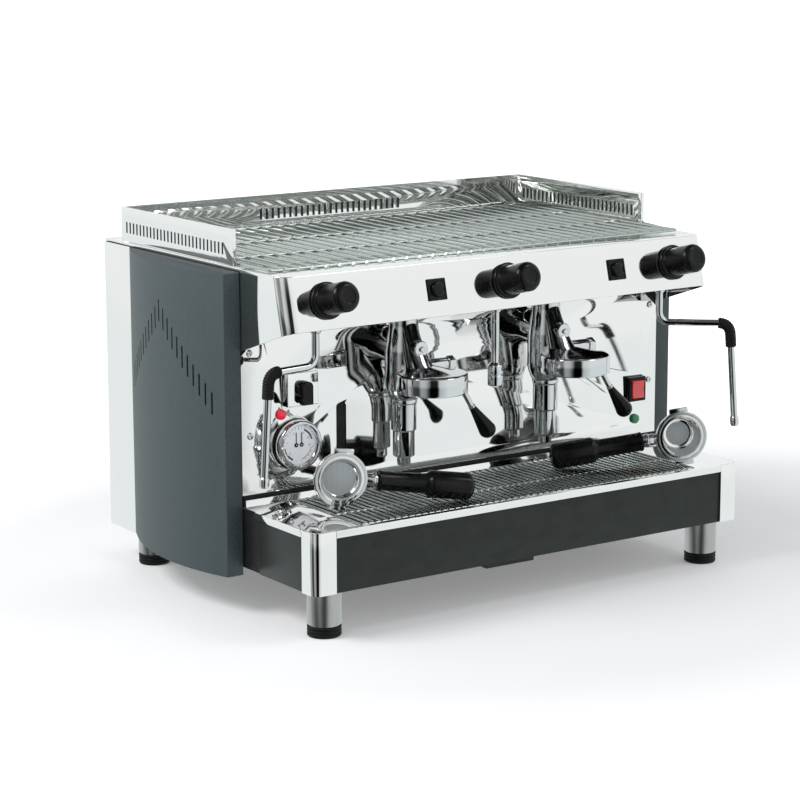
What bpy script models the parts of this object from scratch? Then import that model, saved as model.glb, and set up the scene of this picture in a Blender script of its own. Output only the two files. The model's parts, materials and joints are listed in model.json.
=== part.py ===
"""A commercial two-group espresso machine, modelled at its real size.

The machine stands on the plane z = 0 with its front towards -Y. The origin lies
under the middle of its outline. Lengths are metres. Every measure along the depth
is first given from the front of the base, and the function depth() turns it into
a y coordinate.
"""

import bpy
import bmesh
import math
from mathutils import Matrix, Vector

# Clearances and facets

CLEARANCE = 0.0003
OVERRUN = 0.004
ROUND_SIDES = 18
SMALL_SIDES = 12
TUBE_SIDES = 8

# Overall sizes

BASE_WIDTH = 0.700
FOOT_HEIGHT = 0.062
TRAY_TOP = 0.143
DECK_TOP = 0.452
RAIL_HEIGHT = 0.047

# Base

SHEET = 0.0020
POST_SHEET = 0.0026
POST_FRONT_LEG = 0.033
POST_SIDE_LEG = 0.030
POST_CORNER_RADIUS = 0.012
BAND_HEIGHT = 0.0095
APRON_LENGTH = 0.135
BAND_END = 0.140
TRAY_OPENING_INSET = 0.074
TRAY_OPENING_FRONT = 0.008
TRAY_OPENING_BACK = 0.168
UPSTAND_HEIGHT = 0.009
UPSTAND_FRONT = 0.1685
UPSTAND_BACK = 0.1725
UPSTAND_INSET = 0.0050
BASIN_DEPTH = 0.040
BASIN_WALL = 0.0015
DRAIN_BORE = 0.0100
DRAIN_LENGTH = 0.0100
GRID_MARGIN = 0.0010
GRID_RISE = 0.0018
GRID_THICKNESS = 0.0045
DRIP_BARS = 30
GRID_RAILS = 3
DRIP_BAR_WIDTH = 0.0036
GRID_RAIL_WIDTH = 0.0050
SUMP_WIDTH = 0.077
SUMP_CENTRE = -0.0405
SUMP_FRONT = 0.008
SUMP_LENGTH = 0.024
SUMP_DROP = 0.0065

# Feet

FOOT_RADIUS = 0.022
FOOT_INSET = 0.037
FRONT_FOOT_DEPTH = 0.036
BACK_FOOT_SETBACK = 0.068
RUBBER_HEIGHT = 0.016
RUBBER_GROOVE = 0.0012
STUD_RADIUS = 0.005
STUD_LENGTH = 0.0140

# Body

SPLASH_FRONT = 0.176
SPLASH_INSET = 0.0045
SPLASH_BOTTOM = 0.157
SPLASH_TOP = 0.366
SPLASH_CHAMFER_RUN = 0.030
SPLASH_CHAMFER_FALL = 0.027
PANEL_FRONT = 0.176
PANEL_LENGTH = 0.286
PANEL_STEP = 0.024
PANEL_BULGE = 0.030
PANEL_BOTTOM = 0.052
LID_GAP = 0.0005
PANEL_ARC_STEPS = 9
VENT_WIDTH = 0.0024
VENT_HEIGHT = 0.0290
VENT_PITCH = 0.0111
VENT_DROP = 0.0107
VENT_APEX_SETBACK = 0.133
VENT_APEX_DROP = 0.052
VENT_FRONT_MARGIN = 0.020
VENT_BACK_MARGIN = 0.040
REAR_COVER_LENGTH = 0.076
REAR_INSET = 0.004
REAR_BOTTOM = 0.048
REAR_CORNER_RADIUS = 0.006
LOUVRE_WIDTH = 0.120
LOUVRE_HEIGHT = 0.0040
LOUVRE_PITCH = 0.0120
LOUVRES = 6
LOUVRE_HEIGHT_FROM_TOP = 0.060
DECK_INSET = 0.007
DECK_THICKNESS = 0.004

# Chassis

PAN_THICKNESS = 0.003
FRAME_BAR = 0.022
FRAME_FRONT = 0.1795
CROSSBAR_SETBACK = 0.012
CROSSBAR_WIDTH = 0.060
CROSSBAR_THICKNESS = 0.006
SILL_THICKNESS = 0.005
BEARER_DEPTHS = (0.030, 0.130)
BEARER_SIZE = 0.012
SADDLE_SPREAD = 0.120
SADDLE_LENGTH = 0.030
SADDLE_WIDTH = 0.080
SADDLE_HUG = 0.012
GLAND_RADIUS = 0.009
GLAND_BORE = 0.006
GLAND_LENGTH = 0.0100
GLAND_SPACING = 0.045
GLAND_SETBACK = 0.033

# Hood

HOOD_INSET = 0.0075
HOOD_TOP_DEPTH = 0.080
HOOD_LIP_DEPTH = 0.063
HOOD_HEIGHT = 0.068
HOOD_CHEEK_DROP = 0.038
HOOD_CORNER_RADIUS = 0.0200
HOOD_CORNER_STEPS = 5

# Cup rail and cup grid

RAIL_FRONT = 0.204
RAIL_SETBACK = 0.044
RAIL_INSET = 0.010
RAIL_WALL = 0.0015
RAIL_HEM_HEIGHT = 0.009
RAIL_HEM_WIDTH = 0.0035
RAIL_POST_WIDTH = 0.0045
RAIL_POST_LENGTH = 0.007
SLOT_WIDTH = 0.0040
SLOT_HEIGHT = 0.0150
SLOT_MARGIN = 0.012
SIDE_SLOT_PITCH = 0.00935
REAR_SLOTS = 25
REAR_SLOT_PITCH = 0.0098
SLOT_RISE = 0.020
CUP_GRID_FRONT = 0.122
CUP_GRID_MARGIN = 0.006
CUP_BARS = 33
CUP_BAR_WIDTH = 0.0045

# Boiler and pump

BOILER_RADIUS = 0.088
BOILER_LENGTH = 0.430
BOILER_DOME = 0.022
DOME_SHOULDER_SHARE = 0.80
DOME_HEIGHT_SHARE = 0.60
SADDLE_GAP = 0.015
BOILER_HEIGHT = 0.262
PUMP_RADIUS = 0.040
PUMP_LENGTH = 0.190
PUMP_BASE_LENGTH = 0.120
PUMP_BASE_WIDTH = 0.060
PUMP_BASE_HEIGHT = 0.012
PUMP_INSET = 0.098
PUMP_CENTRE = 0.150
PUMP_HEAD_RADIUS = 0.026
PUMP_HEAD_LENGTH = 0.060

# Taps behind the hood

TAP_INSET = 0.067
TAP_RISE = 0.035
COLLAR_RADIUS = 0.0175
COLLAR_LENGTH = 0.0008
VALVE_RADIUS = 0.0125
VALVE_LENGTH = 0.034
SPINDLE_RADIUS = 0.0040
SPINDLE_LENGTH = 0.020
KNOB_FLANGE_RADIUS = 0.0240
KNOB_FLANGE_LENGTH = 0.0055
KNOB_RADIUS = 0.0196
KNOB_LENGTH = 0.0520
KNOB_ROUNDING = 0.0085
OUTLET_DEPTH = 0.097
OUTLET_RADIUS = 0.0075
OUTLET_DROP = 0.0320

# Steam wands and hot-water spout. A wand has its arm's reach across and back from the
# hinge, its lean from knee to tip, and how far its elbow, knee and tip lie below the outlet.

WAND_RADIUS = 0.0049
WAND_NUT_RADIUS = 0.0072
WAND_NUT_LENGTH = 0.0120
WAND_TIP_RADIUS = 0.0062
WAND_ELBOW_DROP = 0.0540
WAND_ELBOW_RADIUS = 0.016
WAND_GRIP_RADIUS = 0.0095
WAND_TIP_LENGTH = 0.012
LEFT_WAND_REACH = (-0.0740, -0.0070)
LEFT_WAND_KNEE_DROP = 0.0550
LEFT_WAND_LEAN = (-0.0090, 0.0)
LEFT_WAND_TIP_DROP = 0.2000
RIGHT_WAND_REACH = (0.0810, -0.0560)
RIGHT_WAND_KNEE_DROP = 0.0560
RIGHT_WAND_LEAN = (0.0080, -0.0055)
RIGHT_WAND_TIP_DROP = 0.2010
WAND_GRIP_LEAD = 0.010
WAND_GRIP_LENGTH = 0.016
SPOUT_RADIUS = 0.0053
SPOUT_NOZZLE_RADIUS = 0.0105
SPOUT_LENGTH = 0.1115
SPOUT_NOZZLE_LENGTH = 0.0305

# Buttons

BUTTON_CENTRES = (-0.114, 0.184)
BUTTON_RISE = 0.0340
BEZEL_SIZE = 0.0285
BEZEL_PROUD = 0.0025
BEZEL_BODY_SIZE = 0.0240
BEZEL_BODY_LENGTH = 0.016
BUTTON_RADIUS = 0.0095
BUTTON_PROUD = 0.0055
BUTTON_DOME = 0.0020
BUTTON_EDGE_SHARE = 0.75
BUTTON_LENGTH = 0.0140
BUTTON_TRAVEL = 0.0030

# Controls on the splash panel

SELECTOR_INSET = 0.0890
SELECTOR_RISE = 0.0745
SELECTOR_BOX = (0.047, 0.044)
SELECTOR_PROUD = 0.0140
SELECTOR_KNOB_RADIUS = 0.0115
SELECTOR_KNOB_LENGTH = 0.0060
SELECTOR_POINTER_WIDTH = 0.0150
SELECTOR_POINTER_DEPTH = 0.0070
SELECTOR_POINTER_TAIL = 0.0190
SELECTOR_SHAFT_RADIUS = 0.0030
RED_LAMP_INSET = 0.0640
RED_LAMP_GAP = 0.0083
GREEN_LAMP_INSET = 0.0412
GREEN_LAMP_HEIGHT = 0.1794
LAMP_RADIUS = 0.0068
LAMP_PROUD = 0.0035
LAMP_EDGE_SHARE = 0.70
LAMP_STEM_RADIUS = 0.0048
LAMP_STEM_LENGTH = 0.016
GAUGE_INSET = 0.0860
GAUGE_HEIGHT = 0.2155
GAUGE_RADIUS = 0.0330
GAUGE_PROUD = 0.0140
GAUGE_LIP = 0.0050
GAUGE_RECESS = 0.0090
GAUGE_BODY_RADIUS = 0.0270
GAUGE_BODY_LENGTH = 0.030
DIAL_THICKNESS = 0.0012
DIAL_PIN_RADIUS = 0.0007
GLASS_THICKNESS = 0.0012
NEEDLE_THICKNESS = 0.0006
NEEDLE_SPACING = 0.0077
NEEDLE_LENGTH = 0.0165
NEEDLE_TAIL = 0.0030
NEEDLE_WIDTH = 0.0014
NEEDLE_HUB_RADIUS = 0.0024
SIGHT_INSET = 0.1570
SIGHT_WIDTH = 0.0157
SIGHT_ROUNDING_SHARE = 0.60
SIGHT_TOP = 0.2616
SIGHT_BOTTOM = 0.1700
SIGHT_BACK_MARGIN = 0.006
SIGHT_BACK_DEPTH = 0.008
SIGHT_TUBE_RADIUS = 0.0045
SWITCH_INSET = 0.0420
SWITCH_HEIGHT = 0.2235
SWITCH_FRAME = (0.0300, 0.0350)
SWITCH_PROUD = 0.0060
SWITCH_BODY = (0.0260, 0.0310)
SWITCH_BODY_LENGTH = 0.022
ROCKER_SIZE = (0.0200, 0.0250)
ROCKER_PROUD = 0.0030
ROCKER_DEPTH = 0.0100
ROCKER_FLOOR_GAP = 0.0020
ROCKER_SIDE_GAP = 0.0005
ROCKER_END_GAP = 0.0014

# Groups

GROUP_SPREAD = 0.118
GROUP_COLUMN_DEPTH = 0.140
GROUP_RING_DEPTH = 0.076
RING_RADIUS = 0.0470
RING_BOTTOM = 0.284
RING_TOP = 0.309
RING_BORE_RADIUS = 0.0370
RING_BORE_DEPTH = 0.014
COLUMN_RADIUS = 0.0250
COLUMN_TOP_RADIUS = 0.0195
COLUMN_WAIST = 0.330
COLUMN_SHOULDER = 0.362
COLUMN_FOOT_SHARE = 0.75
COLUMN_TOP = 0.388
COLUMN_TAPER_TOP = 0.288
COLUMN_BOTTOM = 0.2655
DOME_MARGIN = 0.0040
DOME_RISE = 0.0050
ARM_FOOT_DEPTH = 0.107
ARM_FOOT_RADIUS = 0.0175
ARM_TOP_DEPTH = 0.138
ARM_TOP_RADIUS = 0.0127
ARM_TOP = 0.3780
BOSS_RADIUS = 0.0110
BOSS_DEPTH = 0.0985
BOSS_HEIGHT = 0.336
NECK_RADIUS = 0.0240
NECK_HEIGHT = 0.334
NECK_FLANGE_RADIUS = 0.0340
NECK_FLANGE_THICKNESS = 0.006
CAM_RADIUS = 0.0088
CAM_REACH = 0.0500
LEVER_AXIS_DEPTH = 0.114
LEVER_AXIS_HEIGHT = 0.310
LEVER_HUB_RADIUS = 0.0095
LEVER_HUB_LENGTH = 0.0110
LEVER_ROD_RADIUS = 0.0040
LEVER_ROD_END = (0.0920, 0.1120, 0.2460)
LEVER_BEND = (0.0670, 0.1140, 0.2880)
LEVER_TIP = (0.1170, 0.1030, 0.2060)
LEVER_GRIP_NECK = 0.0050
LEVER_GRIP_END = 0.0118
CHAMBER_CAP_RADIUS = 0.0182
CHAMBER_CAP_HEIGHT = 0.0040
CHAMBER_RADIUS = 0.0170
CHAMBER_LOWER_RADIUS = 0.0146
CHAMBER_STEP = 0.2230
CHAMBER_BOTTOM = 0.1875
CHAMBER_TIP_RADIUS = 0.0090
CHAMBER_TIP = 0.1750

# Portafilters, placed by the middle of the mouth and the heading of the handle

HEAD_RIM_RADIUS = 0.0355
HEAD_RIM_THICKNESS = 0.0060
HEAD_RADIUS = 0.0315
HEAD_DEPTH = 0.0300
HEAD_FOOT_RADIUS = 0.0250
HEAD_SLOPE_LENGTH = 0.0140
BASKET_RADIUS = 0.0285
BASKET_FOOT_RADIUS = 0.0220
DEEP_BASKET = 0.0240
SHALLOW_BASKET = 0.0060
LUG_WIDTH = 0.0260
LUG_REACH = 0.0400
LUG_THICKNESS_SHARE = 0.80
LUG_ROOT_SHARE = 1.05
SPOUT_BLOCK = (0.040, 0.013, 0.016)
NECK_ROD_RADIUS = 0.0080
HANDLE_AXIS_DROP = 0.0130
HANDLE_START = 0.0525
HANDLE_SWELL = 0.1235
HANDLE_END = 0.1815
HANDLE_RADIUS = 0.0133
HANDLE_END_RADIUS = 0.0180
HANDLE_ROUNDING = 0.0090
PORTAFILTER_INSET = 0.0150
LEFT_PORTAFILTER_DEPTH = 0.0740
LEFT_HEADING = -17.7
RIGHT_PORTAFILTER_DEPTH = 0.0190
RIGHT_HEADING = 153.5

# Colours, roughness and metallic value of each finish

SMOOTH_ANGLE = math.radians(35)
ARC_STEPS = 3
BEND_STEPS = 4
FINISHES = {
    "polished_steel": ((0.80, 0.80, 0.79, 1.0), 0.10, 1.0),
    "brushed_steel": ((0.60, 0.60, 0.59, 1.0), 0.32, 1.0),
    "chrome": ((0.72, 0.73, 0.74, 1.0), 0.06, 1.0),
    "grid_wire": ((0.45, 0.50, 0.47, 1.0), 0.25, 1.0),
    "panel_paint": ((0.035, 0.050, 0.052, 1.0), 0.55, 0.0),
    "apron_paint": ((0.030, 0.035, 0.030, 1.0), 0.45, 0.0),
    "frame_paint": ((0.015, 0.015, 0.016, 1.0), 0.60, 0.0),
    "black_plastic": ((0.010, 0.010, 0.011, 1.0), 0.25, 0.0),
    "rubber": ((0.014, 0.014, 0.014, 1.0), 0.70, 0.0),
    "copper": ((0.72, 0.35, 0.20, 1.0), 0.30, 1.0),
    "dial_white": ((0.78, 0.82, 0.86, 1.0), 0.50, 0.0),
    "clear_glass": ((0.80, 0.86, 0.86, 1.0), 0.05, 0.0),
    "red_lens": ((0.65, 0.010, 0.030, 1.0), 0.20, 0.0),
    "green_lens": ((0.015, 0.19, 0.090, 1.0), 0.20, 0.0),
    "rocker_red": ((0.66, 0.14, 0.14, 1.0), 0.30, 0.0),
}


def clear_scene():
    for thing in list(bpy.data.objects):
        bpy.data.objects.remove(thing, do_unlink=True)


def finish(name):
    """The material of that name, made on first use."""
    found = bpy.data.materials.get(name)
    if found:
        return found
    colour, roughness, metallic = FINISHES[name]
    made = bpy.data.materials.new(name)
    made.use_nodes = True
    shader = made.node_tree.nodes["Principled BSDF"]
    shader.inputs["Base Color"].default_value = colour
    shader.inputs["Roughness"].default_value = roughness
    shader.inputs["Metallic"].default_value = metallic
    made.diffuse_color = colour
    return made


# Levels and depths that follow from the sizes above

HALF_WIDTH = BASE_WIDTH / 2
TRAY_OPENING_HALF = HALF_WIDTH - TRAY_OPENING_INSET
UPSTAND_HALF = HALF_WIDTH - UPSTAND_INSET
FOOT_SPREAD = HALF_WIDTH - FOOT_INSET
SPLASH_HALF_WIDTH = HALF_WIDTH - SPLASH_INSET
REAR_HALF_WIDTH = HALF_WIDTH - REAR_INSET
FRAME_HALF_WIDTH = REAR_HALF_WIDTH - CLEARANCE
DECK_HALF_WIDTH = HALF_WIDTH - DECK_INSET
HOOD_HALF_WIDTH = HALF_WIDTH - HOOD_INSET
RAIL_HALF_WIDTH = HALF_WIDTH - RAIL_INSET
TAP_SPREAD = HALF_WIDTH - TAP_INSET
SELECTOR_CENTRE = (SELECTOR_INSET - HALF_WIDTH, GAUGE_HEIGHT + SELECTOR_RISE)
RED_LAMP_CENTRE = (RED_LAMP_INSET - HALF_WIDTH, GAUGE_HEIGHT + GAUGE_RADIUS + RED_LAMP_GAP)
GREEN_LAMP_CENTRE = (HALF_WIDTH - GREEN_LAMP_INSET, GREEN_LAMP_HEIGHT)
GAUGE_CENTRE = (GAUGE_INSET - HALF_WIDTH, GAUGE_HEIGHT)
SIGHT_CENTRE = SIGHT_INSET - HALF_WIDTH
SWITCH_CENTRE = (HALF_WIDTH - SWITCH_INSET, SWITCH_HEIGHT)
PANEL_BACK = PANEL_FRONT + PANEL_LENGTH
MACHINE_DEPTH = PANEL_BACK + REAR_COVER_LENGTH
PUMP_DEPTH = MACHINE_DEPTH - PUMP_INSET
BOILER_DEPTH = PUMP_DEPTH - PUMP_RADIUS - SADDLE_GAP - SADDLE_WIDTH / 2
BACK_FOOT_DEPTH = MACHINE_DEPTH - BACK_FOOT_SETBACK
GLAND_DEPTH = MACHINE_DEPTH - GLAND_SETBACK
PANEL_TOP = DECK_TOP - DECK_THICKNESS - LID_GAP
VENT_APEX_DEPTH = PANEL_FRONT + VENT_APEX_SETBACK
VENT_APEX_TOP = DECK_TOP - VENT_APEX_DROP
RAIL_TOP = DECK_TOP + RAIL_HEIGHT
RAIL_BACK = MACHINE_DEPTH - RAIL_SETBACK
SLOT_CENTRE_HEIGHT = DECK_TOP + SLOT_RISE
CUP_GRID_BACK = RAIL_BACK - CUP_GRID_MARGIN
CUP_GRID_HALF_WIDTH = RAIL_HALF_WIDTH - CUP_GRID_MARGIN
HOOD_LIP_HEIGHT = DECK_TOP - HOOD_HEIGHT
HOOD_CHEEK_HEIGHT = HOOD_LIP_HEIGHT - HOOD_CHEEK_DROP
TAP_HEIGHT = HOOD_LIP_HEIGHT + TAP_RISE
BUTTON_HEIGHT = HOOD_LIP_HEIGHT + BUTTON_RISE
OUTLET_HEIGHT = TAP_HEIGHT - OUTLET_DROP
SPOUT_BOTTOM = OUTLET_HEIGHT - SPOUT_LENGTH
SPOUT_NOZZLE_TOP = SPOUT_BOTTOM + SPOUT_NOZZLE_LENGTH
PORTAFILTER_SPREAD = TRAY_OPENING_HALF - PORTAFILTER_INSET


# Places: x across, d back from the front of the base, z up

def depth(d):
    return d - MACHINE_DEPTH / 2


def at(x, d, z):
    return Vector((x, depth(d), z))


def seen_from_above(z):
    """Outline points are (x, d); the thickness goes up from z."""
    return Matrix.Translation((0, depth(0), z))


def seen_from_front(d):
    """Outline points are (x, z); the thickness goes back from d."""
    rows = ((1, 0, 0, 0), (0, 0, 1, depth(d)), (0, 1, 0, 0), (0, 0, 0, 1))
    return Matrix(rows)


def frame_along(origin, axis, upright=Vector((0, 0, 1))):
    """Matrix whose z runs along axis and whose y leans to upright."""
    z = Vector(axis).normalized()
    x = Vector(upright).cross(z).normalized()
    y = z.cross(x)
    turn = Matrix((x, y, z)).transposed().to_4x4()
    return Matrix.Translation(origin) @ turn


def facing_front(x, d, z):
    """Matrix at that place whose z comes out towards the front."""
    return frame_along(at(x, d, z), (0, -1, 0))


# Shapes: each returns a closed mesh

def closed_mesh(bm):
    bmesh.ops.recalc_face_normals(bm, faces=bm.faces)
    mesh = bpy.data.meshes.new("shape")
    bm.to_mesh(mesh)
    bm.free()
    mesh.shade_smooth()
    mesh.set_sharp_from_angle(angle=SMOOTH_ANGLE)
    return mesh


def block(low, high, place=Matrix()):
    size = Vector(high) - Vector(low)
    middle = (Vector(high) + Vector(low)) / 2
    bm = bmesh.new()
    fit = place @ Matrix.Translation(middle) @ Matrix.Diagonal((*size, 1))
    bmesh.ops.create_cube(bm, size=1, matrix=fit)
    return closed_mesh(bm)


def box(x0, x1, d0, d1, z0, z1):
    return block(at(x0, d0, z0), at(x1, d1, z1))


def extruded(outline, place, thickness):
    bm = bmesh.new()
    floor = [bm.verts.new(place @ Vector((u, v, 0))) for u, v in outline]
    roof = [bm.verts.new(place @ Vector((u, v, thickness))) for u, v in outline]
    bm.faces.new(floor)
    bm.faces.new(roof)
    for i, start in enumerate(floor):
        j = (i + 1) % len(floor)
        bm.faces.new((start, floor[j], roof[j], roof[i]))
    return closed_mesh(bm)


def rounded(corners, steps=ARC_STEPS):
    """Outline through (u, v, radius) corners, each with an arc of its radius."""
    outline = []
    for i, (u, v, radius) in enumerate(corners):
        here = Vector((u, v))
        if not radius:
            outline.append((u, v))
            continue
        before = Vector(corners[i - 1][:2]) - here
        after = Vector(corners[(i + 1) % len(corners)][:2]) - here
        before.normalize()
        after.normalize()
        half = before.angle(after) / 2
        centre = here + (before + after).normalized() * radius / math.sin(half)
        first = here + before * radius / math.tan(half) - centre
        last = here + after * radius / math.tan(half) - centre
        sweep = first.angle_signed(last)
        for k in range(steps + 1):
            turn = Matrix.Rotation(-sweep * k / steps, 2)
            outline.append(tuple(centre + turn @ first))
    return outline


def turned(profile, place, sides=ROUND_SIDES):
    """Solid of (radius, height) points turned about the z axis of place.

    A profile that starts and ends on the axis makes a plain solid, and one that
    stays off the axis makes a ring.
    """
    bm = bmesh.new()
    rings = []
    for radius, height in profile:
        if not radius:
            rings.append([bm.verts.new(place @ Vector((0, 0, height)))])
            continue
        ring = []
        for k in range(sides):
            angle = math.tau * k / sides
            spot = Vector((radius * math.cos(angle), radius * math.sin(angle), height))
            ring.append(bm.verts.new(place @ spot))
        rings.append(ring)
    for i, ring in enumerate(rings):
        join_rings(bm, ring, rings[(i + 1) % len(rings)])
    return closed_mesh(bm)


def join_rings(bm, low, high):
    if len(low) == 1 and len(high) == 1:
        return
    count = max(len(low), len(high))
    for k in range(count):
        n = (k + 1) % count
        if len(low) == 1:
            bm.faces.new((low[0], high[k], high[n]))
        elif len(high) == 1:
            bm.faces.new((low[k], low[n], high[0]))
        else:
            bm.faces.new((low[k], low[n], high[n], high[k]))


def rod(start, end, radius, sides=ROUND_SIDES):
    way = Vector(end) - Vector(start)
    length = way.length
    upright = Vector((1, 0, 0)) if way.x == way.y == 0 else Vector((0, 0, 1))
    place = frame_along(start, way, upright)
    return turned([(0, 0), (radius, 0), (radius, length), (0, length)], place, sides)


def stacked(rings, sides=ROUND_SIDES):
    """Solid through level circles, each (middle, radius), from bottom to top."""
    bm = bmesh.new()
    made = []
    for middle, radius in rings:
        ring = []
        for k in range(sides):
            angle = math.tau * k / sides
            reach = Vector((radius * math.cos(angle), radius * math.sin(angle), 0))
            ring.append(bm.verts.new(middle + reach))
        made.append(ring)
    for low, high in zip(made, made[1:]):
        join_rings(bm, low, high)
    bm.faces.new(made[0])
    bm.faces.new(made[-1])
    return closed_mesh(bm)


def directions(points):
    """Unit direction of the path at each of its points."""
    found = []
    for i in range(len(points)):
        before = points[max(i - 1, 0)]
        after = points[min(i + 1, len(points) - 1)]
        found.append((after - before).normalized())
    return found


def swept(points, radii, sides=TUBE_SIDES, bore=0):
    """Tube along points with a radius at each, solid or with a bore."""
    ways = directions(points)
    seed = Vector((1, 0, 0)) if abs(ways[0].x) < 0.7 else Vector((0, 0, 1))
    side = seed.cross(ways[0]).normalized()
    bm = bmesh.new()
    outer = []
    inner = []
    for i, middle in enumerate(points):
        if i:
            side = ways[i - 1].rotation_difference(ways[i]) @ side
        up = ways[i].cross(side).normalized()
        spokes = [side * math.cos(math.tau * k / sides) + up * math.sin(math.tau * k / sides)
                  for k in range(sides)]
        outer.append([bm.verts.new(middle + spoke * radii[i]) for spoke in spokes])
        if bore:
            inner.append([bm.verts.new(middle + spoke * bore) for spoke in spokes])
    for low, high in zip(outer, outer[1:]):
        join_rings(bm, low, high)
    for low, high in zip(inner, inner[1:]):
        join_rings(bm, low, high)
    if bore:
        join_rings(bm, outer[0], inner[0])
        join_rings(bm, outer[-1], inner[-1])
    else:
        bm.faces.new(outer[0])
        bm.faces.new(outer[-1])
    return closed_mesh(bm)


def bent(corners, radius):
    """Path through corners with each inner corner eased over that radius."""
    path = [corners[0]]
    for before, here, after in zip(corners, corners[1:], corners[2:]):
        start = here + (before - here).normalized() * radius
        end = here + (after - here).normalized() * radius
        for k in range(BEND_STEPS + 1):
            t = k / BEND_STEPS
            path.append(start.lerp(here, t).lerp(here.lerp(end, t), t))
    path.append(corners[-1])
    return path


def lattice(xs, ds, filled, z, thickness):
    """Plate of the cells between the xs and the ds that filled(i, j) keeps."""
    bm = bmesh.new()
    corners = {}

    def corner(i, j, k):
        if (i, j, k) not in corners:
            corners[i, j, k] = bm.verts.new(at(xs[i], ds[j], z + k * thickness))
        return corners[i, j, k]

    def kept(i, j):
        return 0 <= i < len(xs) - 1 and 0 <= j < len(ds) - 1 and filled(i, j)

    for i in range(len(xs) - 1):
        for j in range(len(ds) - 1):
            if not kept(i, j):
                continue
            for k in (0, 1):
                bm.faces.new((corner(i, j, k), corner(i + 1, j, k),
                              corner(i + 1, j + 1, k), corner(i, j + 1, k)))
            edges = (
                ((i, j), (i + 1, j), (i, j - 1)),
                ((i + 1, j), (i + 1, j + 1), (i + 1, j)),
                ((i + 1, j + 1), (i, j + 1), (i, j + 1)),
                ((i, j + 1), (i, j), (i - 1, j)),
            )
            for a, b, beyond in edges:
                if not kept(*beyond):
                    bm.faces.new((corner(*a, 0), corner(*b, 0), corner(*b, 1), corner(*a, 1)))
    return closed_mesh(bm)


def merged(meshes):
    """One mesh of several that lie clear of each other."""
    bm = bmesh.new()
    for mesh in meshes:
        bm.from_mesh(mesh)
    return closed_mesh(bm)


# Pieces: an object with its material, and hidden operands for its Booleans

def boolean(target, mesh, operation):
    operand = bpy.data.objects.new(target.name + "_operand", mesh)
    bpy.context.collection.objects.link(operand)
    operand.parent = target
    operand.hide_render = True
    operand.display_type = "WIRE"
    modifier = target.modifiers.new(operation.title(), "BOOLEAN")
    modifier.operation = operation
    modifier.solver = "EXACT"
    modifier.object = operand


def piece(name, material, shape, joined=(), cuts=(), place=Matrix()):
    """Object made of shape with others joined to it and others cut from it."""
    made = bpy.data.objects.new(name, shape)
    bpy.context.collection.objects.link(made)
    made.data.materials.append(finish(material))
    made.matrix_world = place
    for mesh in joined:
        boolean(made, mesh, "UNION")
    for mesh in cuts:
        boolean(made, mesh, "DIFFERENCE")
    return made


# Levels, spans and axes that several pieces share

PAN_BOTTOM = FOOT_HEIGHT + CLEARANCE
PAN_TOP = PAN_BOTTOM + PAN_THICKNESS
BAND_BOTTOM = TRAY_TOP - BAND_HEIGHT
PLATE_BOTTOM = TRAY_TOP - SHEET
APRON_FRONT = POST_SHEET + CLEARANCE
PLATE_HALF = BASE_WIDTH / 2 - APRON_FRONT
GRID_TOP = TRAY_TOP + GRID_RISE
GRID_BOTTOM = GRID_TOP - GRID_THICKNESS
BASIN_TOP = GRID_BOTTOM - CLEARANCE
BASIN_BOTTOM = BASIN_TOP - BASIN_DEPTH
SPLASH_BACK = SPLASH_FRONT + SHEET
ON_SPLASH = SPLASH_FRONT - CLEARANCE
DECK_BOTTOM = DECK_TOP - DECK_THICKNESS
FRAME_TOP = DECK_BOTTOM - CLEARANCE
ON_DECK = DECK_TOP + CLEARANCE
FRAME_END = PANEL_BACK - CLEARANCE
CROSSBAR_FRONT = SPLASH_BACK + CROSSBAR_SETBACK
HOOD_SLOPE = (HOOD_TOP_DEPTH - HOOD_LIP_DEPTH) / (DECK_TOP - HOOD_LIP_HEIGHT)
HOOD_BACK = SPLASH_FRONT - CLEARANCE
CHEEK_SLOPE = (HOOD_LIP_HEIGHT - HOOD_CHEEK_HEIGHT) / (HOOD_BACK - HOOD_LIP_DEPTH)
HOOD_NORMAL = Vector((0, -1, HOOD_SLOPE)).normalized()


def sides():
    return (("left", -1), ("right", 1))


def on_hood(x, z):
    """Matrix at that place of the hood's front whose z comes out of it."""
    d = HOOD_TOP_DEPTH - (DECK_TOP - z) * HOOD_SLOPE
    return frame_along(at(x, d, z), HOOD_NORMAL)


def even_spans(low, high, count, width):
    """Edges of count bars of that width spread evenly from low to high."""
    pitch = (high - low - width) / (count - 1)
    edges = []
    for i in range(count):
        edges.append(low + i * pitch)
        edges.append(low + i * pitch + width)
    return edges


# Base

def sheet_outline(outer, front, end, thickness):
    """Outline of a sheet bent round the front and both sides."""
    radius = POST_CORNER_RADIUS - front
    inner = outer - thickness
    tight = radius - thickness
    return rounded([
        (-outer, front, radius), (outer, front, radius), (outer, end, 0), (inner, end, 0),
        (inner, front + thickness, tight), (-inner, front + thickness, tight),
        (-inner, end, 0), (-outer, end, 0),
    ])


def make_corner_post(name, side):
    outer = BASE_WIDTH / 2
    inner = outer - POST_SHEET
    tight = POST_CORNER_RADIUS - POST_SHEET
    outline = rounded([
        (side * outer, 0, POST_CORNER_RADIUS), (side * outer, POST_SIDE_LEG, 0),
        (side * inner, POST_SIDE_LEG, 0), (side * inner, POST_SHEET, tight),
        (side * (outer - POST_FRONT_LEG), POST_SHEET, 0), (side * (outer - POST_FRONT_LEG), 0, 0),
    ])
    piece(name, "polished_steel", extruded(outline, seen_from_above(FOOT_HEIGHT), TRAY_TOP - FOOT_HEIGHT))


def make_apron():
    outline = sheet_outline(PLATE_HALF, APRON_FRONT, APRON_LENGTH, SHEET)
    height = PLATE_BOTTOM - CLEARANCE - FOOT_HEIGHT
    piece("base_apron", "apron_paint", extruded(outline, seen_from_above(FOOT_HEIGHT), height))


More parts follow.
